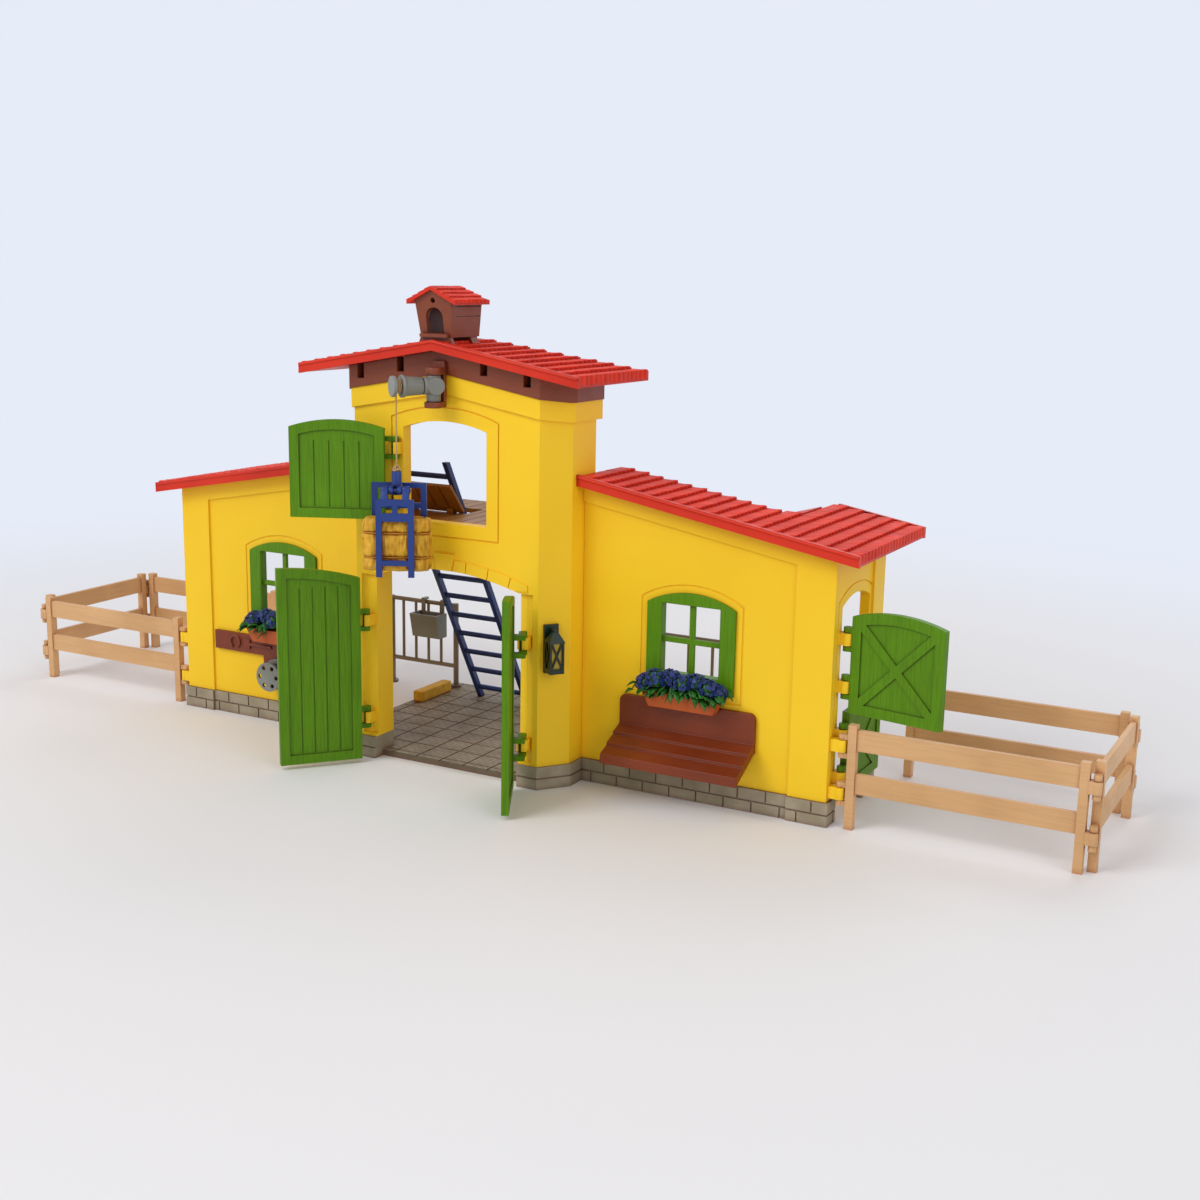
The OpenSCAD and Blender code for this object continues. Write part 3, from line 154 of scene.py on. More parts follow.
def plastic(name, colour, rough=0.42, dark=0.55, tint=None, patch=22, patch_amount=0.10,
            grain=None, grain_depth=0.00012, grain_dark=0.16, fine=1500, fine_depth=0.00002,
            crease=0.0035, attribute=False, brick=None, specular=0.45):
    """Moulded plastic: soft colour patches, painted shade that darkens the creases, fine surface bump and,
    if asked, wood grain.
    """
    n = Nodes(name)
    base = lin(colour)
    other = lin(tint) if tint else base
    patches = n.ramp(n.noise(patch, 2), 0.35, 0.65)
    cool = [c * (1 - patch_amount) for c in base]
    col = n.mix(patches, cool, other)
    normal = n.bump(n.noise(fine, 2), fine_depth)
    if grain:
        streaks = n.noise(1.0, 4, 0.62, n.stretched(grain))
        lines = n.ramp(streaks, 0.36, 0.56)
        col = n.mix(lines, n.mix(grain_dark, col, [c * 0.25 for c in base]), col)
        normal = n.bump(streaks, grain_depth, normal)
    if brick:
        tex = n.add("ShaderNodeTexBrick", offset=0.5)
        size, width, height, joint, depth = brick
        tex.inputs["Scale"].default_value = size
        tex.inputs["Brick Width"].default_value = width
        tex.inputs["Row Height"].default_value = height
        tex.inputs["Mortar Size"].default_value = joint
        tex.inputs["Mortar Smooth"].default_value = 0.3
        tex.inputs["Color1"].default_value = (1, 1, 1, 1)
        tex.inputs["Color2"].default_value = (0.80, 0.80, 0.80, 1)
        tex.inputs["Mortar"].default_value = (0.42, 0.40, 0.38, 1)
        n.link(n.coord, tex.inputs["Vector"])
        col = n.mix(1.0, col, tex.outputs["Color"], "MULTIPLY")
        normal = n.bump(n.ramp(tex.outputs["Fac"], 0, 1, 1, 0), depth, normal)
    if attribute:
        attr = n.add("ShaderNodeAttribute", attribute_name="tint")
        col = n.mix(1.0, col, attr.outputs["Color"], "MULTIPLY")
    # painted shade: ambient occlusion blends creases, corners and recesses toward a darker, warmer copy of
    # the colour; dark sets how deep this shade goes
    occlusion = n.add("ShaderNodeAmbientOcclusion", samples=6)
    occlusion.inputs["Distance"].default_value = crease
    edge = n.ramp(occlusion.outputs["AO"], 0.25, 0.95)
    shade = [c * dark * dark if i else c * dark for i, c in enumerate(base)]
    col = n.mix(edge, shade, col)
    n.link(col, n.shader.inputs["Base Color"])
    n.link(n.ramp(n.noise(patch * 3, 3), 0.3, 0.7, rough - 0.06, rough + 0.08), n.shader.inputs["Roughness"])
    n.link(normal, n.shader.inputs["Normal"])
    n.shader.inputs["Specular IOR Level"].default_value = specular
    return n.mat


# stretch of the wood grain, for boards that run along each axis
ALONG_X, ALONG_Y, ALONG_Z = (40, 900, 900), (900, 40, 900), (1100, 1100, 42)
MATS = {
    "wall_yellow": plastic("wall_yellow", "FFCE1E", 0.46, 0.90, "FFD326", patch=9, patch_amount=0.04,
                           specular=0.28),
    "roof_red": plastic("roof_red", "D22A10", 0.42, 0.62, "DA3014", specular=0.3),
    "timber_brown": plastic("timber_brown", "863F20", 0.44, 0.5, grain=(60, 300, 900), grain_depth=0.00006,
                            grain_dark=0.12),
    "door_green": plastic("door_green", "5C8E00", 0.46, 0.34, grain=ALONG_Z, grain_depth=0.00016,
                          grain_dark=0.30, crease=0.0028, specular=0.25),
    "plinth_stone": plastic("plinth_stone", "9D9179", 0.62, 0.55, "A79B84", patch=60, patch_amount=0.14,
                            fine=700, fine_depth=0.00012),
    "floor_tile": plastic("floor_tile", "97866A", 0.55, 0.6, "A3937A", patch=50, patch_amount=0.12,
                          fine=800, fine_depth=0.0001, brick=(100, 0.62, 0.31, 0.028, 0.0005)),
    "fence_tan": plastic("fence_tan", "DBAA74", 0.50, 0.62, "E2B380", patch=16, grain=ALONG_X,
                         grain_depth=0.0001, grain_dark=0.12),
    "metal_blue": plastic("metal_blue", "17357E", 0.36, 0.45, "1A3B88"),
    "crane_grey": plastic("crane_grey", "7E8078", 0.38, 0.5, "8E928C"),
    "stall_grey": plastic("stall_grey", "857A68", 0.40, 0.5, "8F8473"),
    "lamp_green": plastic("lamp_green", "0C2A18", 0.32, 0.5),
    "lamp_glass": plastic("lamp_glass", "B8A420", 0.18, 0.6, "C8B430", patch=120),
    "bench_brown": plastic("bench_brown", "7E3210", 0.40, 0.45, "883814", grain=(45, 500, 900),
                           grain_depth=0.00008, grain_dark=0.14),
    "terracotta": plastic("terracotta", "C2581E", 0.55, 0.5, "CB6226", fine=1000, fine_depth=0.00005),
    "blossom": plastic("blossom", "1A3070", 0.46, 0.35, "233E88", patch=300, crease=0.0016),
    "loft_wood": plastic("loft_wood", "A8742C", 0.46, 0.5, "B07C34", grain=(600, 50, 600),
                         grain_depth=0.0001, grain_dark=0.2),
    "rope": plastic("rope", "C9A873", 0.75, 0.5, patch=300, fine=4000, fine_depth=0.00006, crease=0.0006),
    "straw": plastic("straw", "EEB41E", 0.62, 0.42, "F0B838", patch=160, patch_amount=0.16,
                     grain=(900, 900, 120), grain_depth=0.0003, grain_dark=0.28, crease=0.003),
    "hose_navy": plastic("hose_navy", "16264C", 0.35, 0.5, crease=0.001),
}
MATS["roof_tile"] = plastic("roof_tile", "E8341A", 0.50, 0.50, "F03C1E", patch=40, patch_amount=0.08,
                            fine=1300, fine_depth=0.00004, attribute=True, crease=0.0022, specular=0.16)
MATS["fence_side"] = plastic("fence_side", "DBAA74", 0.50, 0.62, "E2B380", patch=16, grain=ALONG_Y,
                             grain_depth=0.0001, grain_dark=0.12)
# near-black colour for the plates behind the frieze slots, painted shade inside the openings
MATS["pocket_shade"] = plastic("pocket_shade", "3A180C", 0.5, 0.5)
MATS["leaf"] = plastic("leaf", "1F6A14", 0.48, 0.3, "2E7C1C", patch=260, patch_amount=0.3, crease=0.0016)
MATS["tie_cord"] = plastic("tie_cord", "C98B1E", 0.6, 0.5, patch=300)


def soften(node, width, segments=2, angle=32):
    """Rounds the sharp moulded edges of a CAD solid without touching its mesh."""
    weld = node.modifiers.new("weld", "WELD")
    weld.merge_threshold = 2e-6
    flat = node.modifiers.new("flat", "DECIMATE")
    flat.decimate_type = "DISSOLVE"
    flat.angle_limit = math.radians(1.0)
    bevel = node.modifiers.new("bevel", "BEVEL")
    bevel.width, bevel.segments = width * MM, segments
    bevel.limit_method = "ANGLE"
    bevel.angle_limit = math.radians(angle)
    bevel.harden_normals = True


# width of the rounded edges in millimetres, for the nodes whose edges are rounded
ROUNDING = {
    "tower_wall": 0.7, "tower_frieze": 0.5, "tower_roof": 0.5, "front_wall_right": 0.6,
    "front_wall_left": 0.6, "end_wall_right": 0.6, "end_wall_left": 0.6, "dovecote_box": 0.25,
    "crane_bracket": 0.7, "ladder": 0.9, "window_right": 0.6, "window_left": 0.6,
    "flower_box_right": 0.8, "flower_box_left": 0.8, "bench": 0.7, "tool_board": 0.4,
    "hose_reel": 0.4, "lantern_frame": 0.3, "front_door_left": 0.55, "front_door_right": 0.55,
    "loft_door": 0.55, "side_door_upper": 0.55, "side_door_lower": 0.55, "crane_head": 0.9,
    "winch_drum": 0.5, "grab_hanger": 0.9, "grab_jaw": 0.9, "hatch_flap": 0.3, "feed_trough": 0.4,
    "wing_roof_right": 0.5, "wing_roof_left": 0.5, "stall_base": 0.8,
    "fence_right_front": 0.7, "fence_right_side": 0.7, "fence_right_back": 0.7,
    "fence_left_front": 0.7, "fence_left_side": 0.7, "fence_left_back": 0.7,
}
for sub in frame["record"]["subparts"]:
    name, slot_name = sub["node"], sub["material_slot"]
    material = MATS[slot_name]
    if name in ("fence_right_side", "fence_left_side"):
        material = MATS["fence_side"]
    node = NODES[name]
    if not node.material_slots:
        node.data.materials.append(material)
    for socket in node.material_slots:
        socket.material = material
    if name in ROUNDING:
        soften(node, ROUNDING[name])


# ---- new pieces ----
def add_piece(name, verts, faces, body, material, smooth=False, tints=None, angle=None):
    """A mesh piece in millimetres that rides on a body."""
    mesh = bpy.data.meshes.new(name)
    mesh.from_pydata([Vector(v) * MM for v in verts], [], faces)
    mesh.validate()
    if tints is not None:
        layer = mesh.color_attributes.new("tint", "FLOAT_COLOR", "CORNER")
        values = []
        for poly in mesh.polygons:
            t = tints[poly.index]
            values += [t, t, t, 1.0] * poly.loop_total
        layer.data.foreach_set("color", values)
    mesh.materials.append(MATS[material])
    obj = bpy.data.objects.new(name, mesh)
    bpy.context.scene.collection.objects.link(obj)
    if smooth:
        mesh.polygons.foreach_set("use_smooth", [True] * len(mesh.polygons))
        if angle is not None:
            mesh.set_sharp_from_angle(angle=math.radians(angle))
    if body:
        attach(obj, body)
    return obj


def tube(path, radius, sides=8, closed=False, caps=True):
    """Verts and faces of a round tube along points in millimetres."""
    pts = [Vector(p) for p in path]
    verts, faces = [], []
    count = len(pts)
    side = None
    for i, p in enumerate(pts):
        a = pts[i - 1] if i or closed else p
        b = pts[(i + 1) % count] if i < count - 1 or closed else p
        t = (b - a).normalized()
        if side is None:
            side = t.cross(Vector((0, 0, 1)))
            if side.length < 0.1:
                side = t.cross(Vector((0, 1, 0)))
        side = (side - t * side.dot(t)).normalized()
        other = t.cross(side)
        r = radius[i] if isinstance(radius, (list, tuple)) else radius
        for k in range(sides):
            ang = 2 * math.pi * k / sides
            verts.append(p + side * (r * math.cos(ang)) + other * (r * math.sin(ang)))
    rings = count if closed else count - 1
    for i in range(rings):
        for k in range(sides):
            a, b = i * sides + k, i * sides + (k + 1) % sides
            c, d = ((i + 1) % count) * sides + (k + 1) % sides, ((i + 1) % count) * sides + k
            faces.append((a, b, c, d))
    if caps and not closed:
        faces.append(tuple(reversed(range(sides))))
        faces.append(tuple((count - 1) * sides + k for k in range(sides)))
    return verts, faces


def join(parts):
    """Several (verts, faces) as one."""
    verts, faces = [], []
    for v, f in parts:
        base = len(verts)
        verts += [Vector(p) for p in v]
        faces += [tuple(i + base for i in face) for face in f]
    return verts, faces


# ---- hoist rope: a twisted cord from the winch down to the grab ----
YAW = math.radians(36)                      # the crane's turn at rest
POST = Vector((0, -43, 243.5))              # the crane's swivel, at the height of its arm
ARM = Vector((-math.sin(YAW), -math.cos(YAW), 0))
ROPE_R = 0.55
HUB_TOP = 192.9                             # where the rope meets the grab
ROPE_OUT, DRUM_R = 22.3, 3.55               # the rope's place along the arm and beside it
ROPE = Vector((-ROPE_OUT * math.sin(YAW) - DRUM_R * math.cos(YAW),
               -43 - ROPE_OUT * math.cos(YAW) + DRUM_R * math.sin(YAW), 0))
GRAB_TURN = math.radians(28.3)


def twisted(points, radius, strands=3, turn=2.2, sides=6):
    """Strands laid round a line, radius from the middle to the outside of the rope."""
    strand, offset = radius * 0.54, radius * 0.46
    out, run = [], 0.0
    pts = [Vector(p) for p in points]
    angles = [0.0]
    for a, b in zip(pts, pts[1:]):
        run += (b - a).length
        angles.append(2 * math.pi * run / turn)
    for s in range(strands):
        line = []
        for i, p in enumerate(pts):
            t = (pts[min(i + 1, len(pts) - 1)] - pts[max(i - 1, 0)]).normalized()
            u = t.cross(Vector((0, 1, 0))).normalized()
            w = t.cross(u)
            ang = angles[i] + 2 * math.pi * s / strands
            line.append(p + (u * math.cos(ang) + w * math.sin(ang)) * offset)
        out.append(tube(line, strand, sides))
    return join(out)


def add_rope():
    steps = 150
    line = [Vector((ROPE.x, ROPE.y, POST.z + (HUB_TOP - POST.z) * i / steps)) for i in range(steps + 1)]
    verts, faces = twisted(line, ROPE_R)
    rope = add_piece("rope_fall", verts, faces, None, "rope", smooth=True)
    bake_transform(rope)
    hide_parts("hoist_rope")
    side = ARM.cross(Vector((0, 0, 1)))
    coil = []
    for i in range(97):
        ang = 2 * math.pi * i / 32
        out = side * math.cos(ang) + Vector((0, 0, 1)) * math.sin(ang)
        coil.append(POST + ARM * (20.75 + 3.05 * i / 96) + out * (3 + ROPE_R * 0.9))
    v, f = tube(coil, ROPE_R * 0.9, 7)
    add_piece("rope_turns", v, f, "winch", "rope", smooth=True)
    hub = Vector((ROPE.x, ROPE.y, HUB_TOP))
    parts = []
    for k, (dz, r) in enumerate(((-1.4, 2.3), (-0.3, 1.5), (0.8, 1.9))):
        ring = []
        for i in range(24):
            ang = 2 * math.pi * i / 24
            lift = dz + 0.5 * math.sin(ang * 2 + k)
            ring.append(hub + Vector((r * math.cos(ang), r * math.sin(ang), lift)))
        parts.append(tube(ring, 0.62, 7, closed=True))
    knot = [hub + Vector((1.1 * math.sin(t * 2.0), 1.1 * math.cos(t * 3.0), 1.2 + 1.3 * math.sin(t) + 1.2))
            for t in (2 * math.pi * i / 40 for i in range(40))]
    parts.append(tube(knot, 0.6, 7, closed=True))
    rng = random.Random(4)
    for k in range(5):
        ang = 2 * math.pi * k / 5
        out = Vector((math.cos(ang), math.sin(ang), 0))
        drop = rng.uniform(2.2, 4.0)
        tail = [hub + out * (1.2 + 1.5 * s) + Vector((0, 0, 1.8 + 1.1 * math.sin(s * 2.6) - drop * s * s))
                for s in (i / 7 for i in range(8))]
        parts.append(tube(tail, [0.42 - 0.2 * i / 7 for i in range(8)], 6))
    v, f = join(parts)
    add_piece("rope_knot", v, f, "grab", "rope", smooth=True)


add_rope()


# ---- roof tiles ----
SLOPE = 0.1763
RIDGE_Z, TOWER_EAVE, TOWER_HALF = 269.6, 100.0, 80.2
WING_OUTER, WING_EAVE, WING_EAVE_Z = 242.8, 258.4, 160.5
STEP = 1.1                                  # height of each course over the next
TILE_CUTS = (0.0, 0.06, 0.2, 0.5, 0.8, 0.94, 1.0)       # places across one tile
TILE_CROWN = (0.0, 0.55, 0.88, 1.0, 0.88, 0.55, 0.0)    # its arched height there
TILE_TOOTH = (0.0, 0.45, 0.85, 1.0, 0.85, 0.45, 0.0)    # its rounded lower edge there


def tile_rows(name, side, x0, x1, top0, courses, front, back, slope=SLOPE, step=STEP, pitch=5.6,
              lip=1.0, eave_lip=4.6, seed=1, height=0.85, teeth=0.9):
    """Courses of small tiles with rounded lower edges, laid on the stepped slab of a roof."""
    rng = random.Random(seed)
    verts, faces, tints = [], [], []
    w = (x1 - x0) / courses
    for i in range(courses):
        xa, xb = x0 + i * w, x0 + (i + 1) * w
        end = back((xa + xb) / 2) + rng.uniform(-1.0, 1.0)
        n = max(1, round((end - front) / pitch))
        p = (end - front) / n
        drop = eave_lip if i == courses - 1 else lip
        for j in range(n):
            lift, reach = rng.uniform(0, 0.16), rng.uniform(0, 0.35)
            tint = rng.uniform(0.90, 1.06)
            base = len(verts)
            rows = ((xa + 0.2, 0.05, 0.04), (xa + 0.55 * w, 0.12, 0.22), (xb - 0.5, 0.16, 0.85),
                    (xb + 0.3 + reach, 0.05, 0.8))
            for x, rise, amount in rows:
                u = min(1.0, (x - xa) / w)
                z = top0 - (xa - x0) * slope + u * (step - w * slope) + rise + lift
                for c, h, out in zip(TILE_CUTS, TILE_CROWN, TILE_TOOTH):
                    at = x - (1 - out) * teeth * amount if x > xb - 1 else x
                    verts.append((side * at, front + (j + c) * p, z + height * amount * h))
            x = xb + 0.25 + reach
            z = top0 - (xb - x0) * slope + step - drop
            for c, out in zip(TILE_CUTS, TILE_TOOTH):
                verts.append((side * (x - (1 - out) * teeth * 0.8), front + (j + c) * p, z))
            m = len(TILE_CUTS)
            for r in range(4):
                for k in range(m - 1):
                    a = base + r * m + k
                    quad = (a, a + m, a + m + 1, a + 1)
                    faces.append(quad if side > 0 else quad[::-1])
                    # painted shade: the downturned lower lip of each tile is tinted 10% darker; the rest of
                    # the tint is random tone from tile to tile
                    tints.append(tint if r < 3 else tint * 0.9)
            if j in (0, n - 1):
                k = 0 if j == 0 else m - 1
                faces.append(tuple(base + r * m + k for r in range(5)))
                tints.append(tint)
    return add_piece(name, verts, faces, "barn", "roof_tile", smooth=True, tints=tints, angle=38)


def tower_back_at(x):
    """The tower roof's back edge, which runs back towards the eaves."""
    return 8 + (42.5 - 8) * x / TOWER_EAVE


def wing_back_at(x):
    """The wing roof's back edge, which steps back over the end wall."""
    if x < 84.7:
        return 22 + (x - 79.2) / 5.5 * 25
    if x < 192.8:
        return 47.2
    if x < 202.8:
        return 47.2 + (x - 192.8) / 10 * 61.8
    return 109.0


wing_top_in = WING_EAVE_Z + (WING_EAVE - TOWER_HALF) * SLOPE
for side, tag in ((1, "right"), (-1, "left")):
    tile_rows("tower_tiles_" + tag, side, 0.0, TOWER_EAVE, RIDGE_Z, 10, -42.4, tower_back_at, seed=3 + side)
    tile_rows("wing_tiles_" + tag, side, TOWER_HALF, WING_EAVE, wing_top_in, 18, -7.6, wing_back_at,
              seed=7 + side)
    tile_rows("dovecote_tiles_" + tag, side, 0.0, 17.0, 301.8, 4, -44.6,
              lambda x: -10.2 + 1.2 * (x / 17.0) - 5.0 * (1 - x / 17.0), slope=0.5, step=0.5, pitch=4.2,
              lip=0.6, eave_lip=1.6, seed=11 + side, height=0.5, teeth=0.6)


# ---- moulded beads along the verges, and near-black plates in the pockets behind the frieze slots as painted shade ----
def bead(name, x0, x1, y, z0, z1, radius=1.15):
    pts = [(x0 + (x1 - x0) * i / 6, y, z0 + (z1 - z0) * i / 6) for i in range(7)]
    v, f = tube(pts, radius, 14)
    add_piece(name, v, f, "barn", "roof_red", smooth=True, angle=50)


for side, tag in ((1, "right"), (-1, "left")):
    bead("tower_bead_" + tag, 0, side * (TOWER_EAVE - 0.5), -45.15, RIDGE_Z - 0.15,
         RIDGE_Z - 0.15 - (TOWER_EAVE - 0.5) * SLOPE)
    for y, part in ((-10.35, "front"), (111.5, "back")):
        x0 = TOWER_HALF + 0.5 if part == "front" else WING_OUTER - 40
        bead("wing_bead_%s_%s" % (part, tag), side * x0, side * (WING_EAVE - 0.5), y,
             WING_EAVE_Z + (WING_EAVE - x0) * SLOPE - 0.15, WING_EAVE_Z + 0.5 * SLOPE - 0.15)


def block(lo, hi, inset=0.3):
    """A box with chamfered upright edges, in millimetres."""
    (x0, y0, z0), (x1, y1, z1) = lo, hi
    ring = [(x0 + inset, y0), (x1 - inset, y0), (x1, y0 + inset), (x1, y1 - inset), (x1 - inset, y1),
            (x0 + inset, y1), (x0, y1 - inset), (x0, y0 + inset)]
    verts = [(x, y, z) for z in (z0, z1) for x, y in ring]
    faces = [tuple(reversed(range(8))), tuple(range(8, 16))]
    faces += [(i, (i + 1) % 8, 8 + (i + 1) % 8, 8 + i) for i in range(8)]
    return verts, faces


# painted shade: thin near-black plates close the pockets behind the frieze slots, standing in for the shade
# inside them
pockets = []
for x in (-60, -30, 30, 60):
    top = RIDGE_Z - 5 - abs(x) * SLOPE
    pockets.append(block((x - 4.2, -29.0, top - 11), (x + 4.2, -28.2, top - 0.6)))
v, f = join(pockets)
add_piece("frieze_pockets", v, f, "barn", "pocket_shade")


# ---- straw bale in the grab ----
BALE_TIES = (0.27, 0.73)                    # heights of the two ties, as shares of the bale
CAP_RINGS = 5


def rounded_box(c, s):
    """How far the outline of a box with round corners lies out in the direction of a cosine and a sine."""
    return (abs(c) ** 4 + abs(s) ** 4) ** -0.25


def add_bale():
    half, depth, z0, height = 20.6, 8.9, 132.9, 32.1
    around, levels = 220, 74
    gx = Vector((math.cos(GRAB_TURN), math.sin(GRAB_TURN), 0))
    gy = Vector((-math.sin(GRAB_TURN), math.cos(GRAB_TURN), 0))
    verts, faces = [], []
    for k in range(levels + 1):
        t = k / levels
        z = z0 + height * t
        edge = min(t, 1 - t) * height / 4.2
        round_in = 0.0 if edge >= 1 else 3.4 * (1 - math.sqrt(max(0.0, 1 - (1 - edge) ** 2)))
        tie = sum(math.exp(-((t - c) * height / 1.1) ** 2) for c in BALE_TIES)
        for i in range(around):
            ang = 2 * math.pi * i / around
            c, s = math.cos(ang), math.sin(ang)
            rad = rounded_box(c, s)
            x, y = half * rad * c, depth * rad * s
            lobe = 0.9
            if abs(s) * rad > 0.75:
                lobe = 0.9 * abs(math.sin(x * math.pi / 10.4 + 0.6)) ** 0.7
            streak = noise.noise(Vector((x * 1.5, y * 1.5, z * 0.14))) * 1.0
            lump = noise.noise(Vector((x * 0.3, y * 0.3, z * 0.25 + 5))) * 1.0
            off = -1.3 + lobe * 1.2 - 1.3 * tie + streak + lump - round_in
            out = Vector((c / half, s / depth, 0)).normalized()
            px, py = x + out.x * off, y + out.y * off
            verts.append(Vector((ROPE.x, ROPE.y, z)) + gx * px + gy * py)
    for k in range(levels):
        for i in range(around):
            a, b = k * around + i, k * around + (i + 1) % around
            faces.append((a, b, b + around, a + around))
    for base, flip, up in ((0, True, -1), (levels * around, False, 1)):
        last = list(range(base, base + around))
        middle = Vector((ROPE.x, ROPE.y, z0 if up < 0 else z0 + height))
        for step in range(1, CAP_RINGS + 1):
            ring = []
            for j in range(base, base + around):
                p = middle + (verts[j] - middle) * (1 - step / (CAP_RINGS + 1))
                ragged = noise.noise(Vector((p.x * 0.5, p.y * 0.9, up))) * 0.5
                p.z = middle.z - up * 0.1 + ragged - up * 0.4
                verts.append(p)
                ring.append(len(verts) - 1)
            for i in range(around):
                q = (last[i], last[(i + 1) % around], ring[(i + 1) % around], ring[i])
                faces.append(q[::-1] if flip else q)
            last = ring
        faces.append(tuple(reversed(last)) if flip else tuple(last))
    bale = add_piece("straw_bale", verts, faces, "grab", "straw", smooth=True)
    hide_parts("hay_bale")
    ties = []
    for share in BALE_TIES:
        z = z0 + height * share
        ring = []
        for i in range(96):
            ang = 2 * math.pi * i / 96
            co, si = math.cos(ang), math.sin(ang)
            rad = rounded_box(co, si)
            ring.append(Vector((ROPE.x, ROPE.y, z)) + gx * ((half - 0.9) * rad * co)
                        + gy * ((depth - 0.9) * rad * si))
        ties.append(tube(ring, 0.5, 7, closed=True))
    v, f = join(ties)
    add_piece("bale_ties", v, f, "grab", "tie_cord", smooth=True)


add_bale()


# ---- blossom and leaves in the window boxes ----
def leaf_mesh(root, out, length, width, droop, twist):
    """A pointed leaf with a fold along its middle."""
    out = out.normalized()
    across = out.cross(Vector((0, 0, 1)))
    if across.length < 0.05:
        across = Vector((1, 0, 0))
    across = (across.normalized() * math.cos(twist) + Vector((0, 0, 1)) * math.sin(twist)).normalized()
    shape = ((0.0, 0.12), (0.2, 0.62), (0.45, 1.0), (0.7, 0.8), (0.88, 0.42), (1.0, 0.04))
    verts, faces = [], []
    for t, w in shape:
        mid = root + out * (length * t) + Vector((0, 0, -droop * t * t))
        lift = Vector((0, 0, 0.18 * width * w))
        verts += [mid - across * (width * w / 2) + lift, mid, mid + across * (width * w / 2) + lift]
    for i in range(len(shape) - 1):
        a = 3 * i
        faces += [(a, a + 1, a + 4, a + 3), (a + 1, a + 2, a + 5, a + 4)]
    return verts, faces


def thicken(obj, thickness):
    """Gives thin petals and leaves a moulded thickness."""
    solid = obj.modifiers.new("thickness", "SOLIDIFY")
    solid.thickness = thickness * MM
    solid.offset = 0


def floret_mesh(centre, facing, radius, spin):
    """A small flower of five cupped petals."""
    facing = facing.normalized()
    u = facing.cross(Vector((0.3, 0.2, 1))).normalized()
    w = facing.cross(u)
    verts, faces = [centre + facing * (radius * 0.1)], []
    for k in range(5):
        for da, r, h in ((-0.5, 0.72, 0.30), (-0.22, 1.0, 0.5), (0.22, 1.0, 0.5), (0.5, 0.72, 0.30)):
            ang = spin + 2 * math.pi * (k + da * 0.92) / 5
            verts.append(centre + (u * math.cos(ang) + w * math.sin(ang)) * (radius * r)
                         + facing * (radius * h * 0.5))
        b = 1 + 4 * k
        faces.append((0, b, b + 1, b + 2, b + 3))
    return verts, faces


# flower heads: place along the box, height, depth and radius
HEADS = ((-22, 71.5, -9.5, 6.2), (-14.5, 75.5, -11.0, 6.4), (-5.5, 76.5, -8.2, 5.8), (3.5, 74.5, -12.0, 6.4),
         (12, 76.0, -9.0, 6.0), (20, 74.0, -11.2, 6.0), (25.5, 71.5, -8.2, 5.4), (-12, 73.0, -6.5, 6.0),
         (7, 74.5, -6.5, 5.6))


FLOWERS_X = 150.8


def add_flowers(side, tag):
    rng = random.Random(21 + side)
    middle = FLOWERS_X
    core, petals, leaves = [], [], []
    for hx, hz, hy, r in HEADS:
        centre = Vector((side * (middle + hx), hy, hz))
        ball_v, ball_f = [], []
        rows, cols = 8, 14
        for a in range(rows + 1):
            th = math.pi * a / rows
            for b in range(cols):
                ph = 2 * math.pi * b / cols
                d = Vector((math.sin(th) * math.cos(ph), math.sin(th) * math.sin(ph), math.cos(th)))
                rr = r * (0.78 + 0.12 * noise.noise(centre + d * 3))
                ball_v.append(centre + d * rr)
        for a in range(rows):
            for b in range(cols):
                c, e = a * cols + b, a * cols + (b + 1) % cols
                ball_f.append((c, c + cols, e + cols, e))
        core.append((ball_v, ball_f))
        count = 44
        for i in range(count):
            h = 1 - (i + 0.5) / count * 1.45
            ang = i * 2.39996 + hx
            flat = math.sqrt(max(0, 1 - h * h))
            d = Vector((flat * math.cos(ang), flat * math.sin(ang), h))
            if d.y > 0.75:
                continue
            d = (d + Vector((rng.uniform(-.2, .2), rng.uniform(-.2, .2), rng.uniform(-.2, .2)))).normalized()
            p = centre + d * (r * rng.uniform(0.82, 0.98))
            if p.y > -1.4:
                continue
            petals.append(floret_mesh(p, d, rng.uniform(1.25, 1.7), rng.uniform(0, 6)))
    for i in range(78):
        x = middle + rng.uniform(-28, 28)
        front = rng.random() < 0.8
        y = rng.uniform(-13.5, -10.5) if front else rng.uniform(-9, -3)
        z = rng.uniform(66.0, 72.5) if front else rng.uniform(68, 73)
        out = Vector((side * (rng.uniform(-0.6, 0.6) + (x - middle) * 0.035), rng.uniform(-1.0, -0.35),
                      rng.uniform(-0.4, 0.5)))
        length = rng.uniform(5.0, 7.4)
        leaves.append(leaf_mesh(Vector((side * x, y, z)), out, length, rng.uniform(3.6, 4.8),
                                rng.uniform(1.5, 4.5), rng.uniform(-0.7, 0.7)))
    v, f = join(core)
    stem = add_piece("foliage_" + tag, v, f, "barn", "leaf", smooth=True)
    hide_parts("flowers_" + tag)
    weld = stem.modifiers.new("weld", "WELD")
    weld.merge_threshold = 2e-6
    v, f = join(petals)
    thicken(add_piece("blossoms_" + tag, v, f, "barn", "blossom"), 0.3)
    v, f = join(leaves)
    thicken(add_piece("leaves_" + tag, v, f, "barn", "leaf", smooth=True), 0.35)


add_flowers(1, "right")
add_flowers(-1, "left")


# ---- hose wound on its reel ----
REEL_X, REEL_Z = -159, 35
HOSE_LAYERS = ((5.15, -5.85, -10.35), (7.1, -10.35, -5.85))     # radius, and from where to where along Y


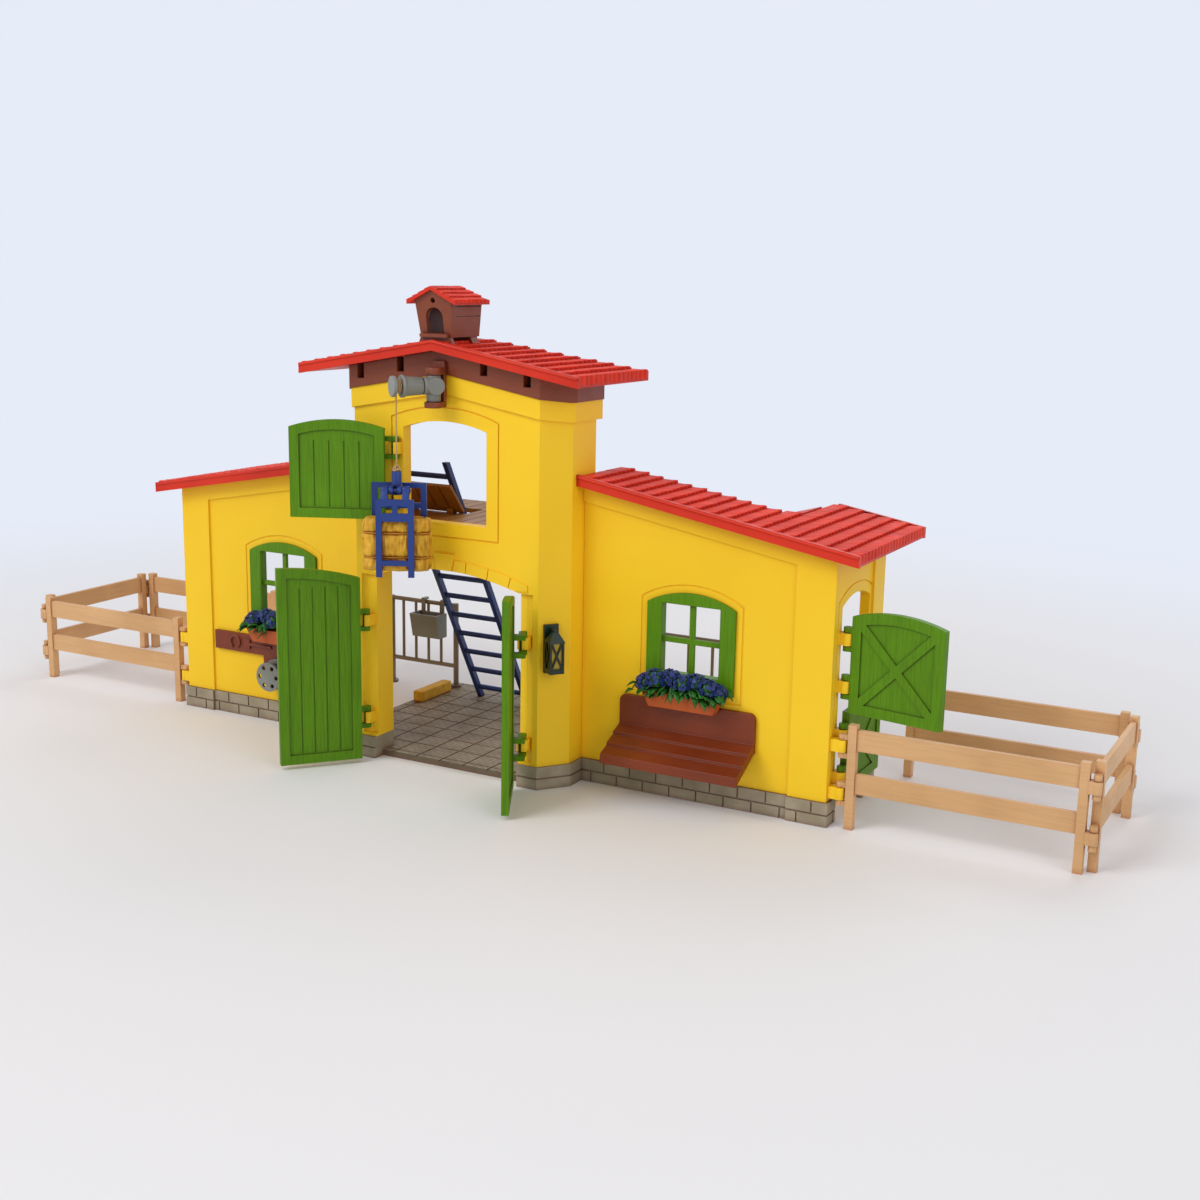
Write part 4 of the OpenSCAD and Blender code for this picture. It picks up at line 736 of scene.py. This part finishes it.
def add_hose():
    line = []
    per_turn, turns = 28, 2.5
    outer = HOSE_LAYERS[1][0]
    for layer, (r, a, b) in enumerate(HOSE_LAYERS):
        for i in range(int(per_turn * turns)):
            t = i / (per_turn * turns - 1)
            ang = 2 * math.pi * (turns * t + turns * layer)
            rr = r if layer or t < 0.9 else r + (outer - r) * (t - 0.9) / 0.1
            line.append((REEL_X + rr * math.cos(ang), a + (b - a) * t, REEL_Z + rr * math.sin(ang)))
    v, f = tube(line, 1.12, 10)
    hose = add_piece("wound_hose", v, f, "barn", "hose_navy", smooth=True)
    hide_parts("hose_winding")


add_hose()


# ---- ground, light and background ----
SKY = "E6ECF8"
GROUND_R = 9000                             # millimetres
FADE_FROM, FADE_TO = 0.42, 1.15             # metres from the middle, where the ground turns into the sky


def most_of(tree, a, b):
    node = tree.nodes.new("ShaderNodeMath")
    node.operation = "MAXIMUM"
    tree.links.new(a, node.inputs[0])
    tree.links.new(b, node.inputs[1])
    return node.outputs[0]


def seen_rays(tree):
    """One for camera, glossy and transmission rays, else nought."""
    path = tree.nodes.new("ShaderNodeLightPath")
    both = most_of(tree, path.outputs["Is Camera Ray"], path.outputs["Is Glossy Ray"])
    return most_of(tree, both, path.outputs["Is Transmission Ray"])


def add_ground():
    n = Nodes("ground")
    away = n.add("ShaderNodeVectorMath", operation="LENGTH")
    n.link(n.coord, away.inputs[0])
    n.shader.inputs["Base Color"].default_value = (*lin("F1F0F3"), 1)
    n.shader.inputs["Roughness"].default_value = 0.75
    n.shader.inputs["Specular IOR Level"].default_value = 0.15
    glow = n.add("ShaderNodeEmission")
    glow.inputs["Color"].default_value = (*lin(SKY), 1)
    fade = n.add("ShaderNodeMath", operation="MULTIPLY")
    smooth = n.add("ShaderNodeMapRange", clamp=True, interpolation_type="SMOOTHSTEP")
    smooth.inputs["From Min"].default_value = FADE_FROM
    smooth.inputs["From Max"].default_value = FADE_TO
    n.link(away.outputs["Value"], smooth.inputs["Value"])
    n.link(smooth.outputs["Result"], fade.inputs[0])
    n.link(seen_rays(n.tree), fade.inputs[1])
    mix = n.add("ShaderNodeMixShader")
    n.link(fade.outputs[0], mix.inputs[0])
    n.link(n.shader.outputs[0], mix.inputs[1])
    n.link(glow.outputs[0], mix.inputs[2])
    n.link(mix.outputs[0], n.tree.nodes["Material Output"].inputs["Surface"])
    rim = [(GROUND_R * math.cos(2 * math.pi * i / 64), GROUND_R * math.sin(2 * math.pi * i / 64), -0.02)
           for i in range(64)]
    mesh = bpy.data.meshes.new("ground")
    mesh.from_pydata([Vector(v) * MM for v in rim], [], [tuple(range(64))])
    mesh.materials.append(n.mat)
    obj = bpy.data.objects.new("ground", mesh)
    bpy.context.scene.collection.objects.link(obj)


def add_world():
    world = bpy.data.worlds.new("studio")
    bpy.context.scene.world = world
    world.use_nodes = True
    tree = world.node_tree
    tree.nodes.clear()
    out = tree.nodes.new("ShaderNodeOutputWorld")
    light = tree.nodes.new("ShaderNodeBackground")
    light.inputs["Color"].default_value = (1.0, 1.0, 1.0, 1)
    light.inputs["Strength"].default_value = 0.50
    seen = tree.nodes.new("ShaderNodeBackground")
    seen.inputs["Color"].default_value = (*lin(SKY), 1)
    mix = tree.nodes.new("ShaderNodeMixShader")
    tree.links.new(seen_rays(tree), mix.inputs[0])
    tree.links.new(light.outputs[0], mix.inputs[1])
    tree.links.new(seen.outputs[0], mix.inputs[2])
    tree.links.new(mix.outputs[0], out.inputs[0])


def add_light(name, at, size, power, colour=(1, 1, 1)):
    data = bpy.data.lights.new(name, "AREA")
    data.shape = "SQUARE"
    data.size = size
    data.energy = power
    data.color = colour
    obj = bpy.data.objects.new(name, data)
    obj.location = at
    obj.rotation_euler = (Vector((0, 0, 0.08)) - Vector(at)).to_track_quat("-Z", "Y").to_euler()
    bpy.context.scene.collection.objects.link(obj)


add_ground()
add_world()
add_light("key", (-0.9, -1.7, 1.7), 1.3, 26, (1.0, 0.985, 0.96))
add_light("fill", (1.9, -0.9, 1.0), 1.2, 8, (0.96, 0.98, 1.0))
add_light("back", (0.2, 1.7, 1.6), 1.4, 10, (0.97, 0.98, 1.0))

bpy.context.scene.view_settings.view_transform = "Standard"
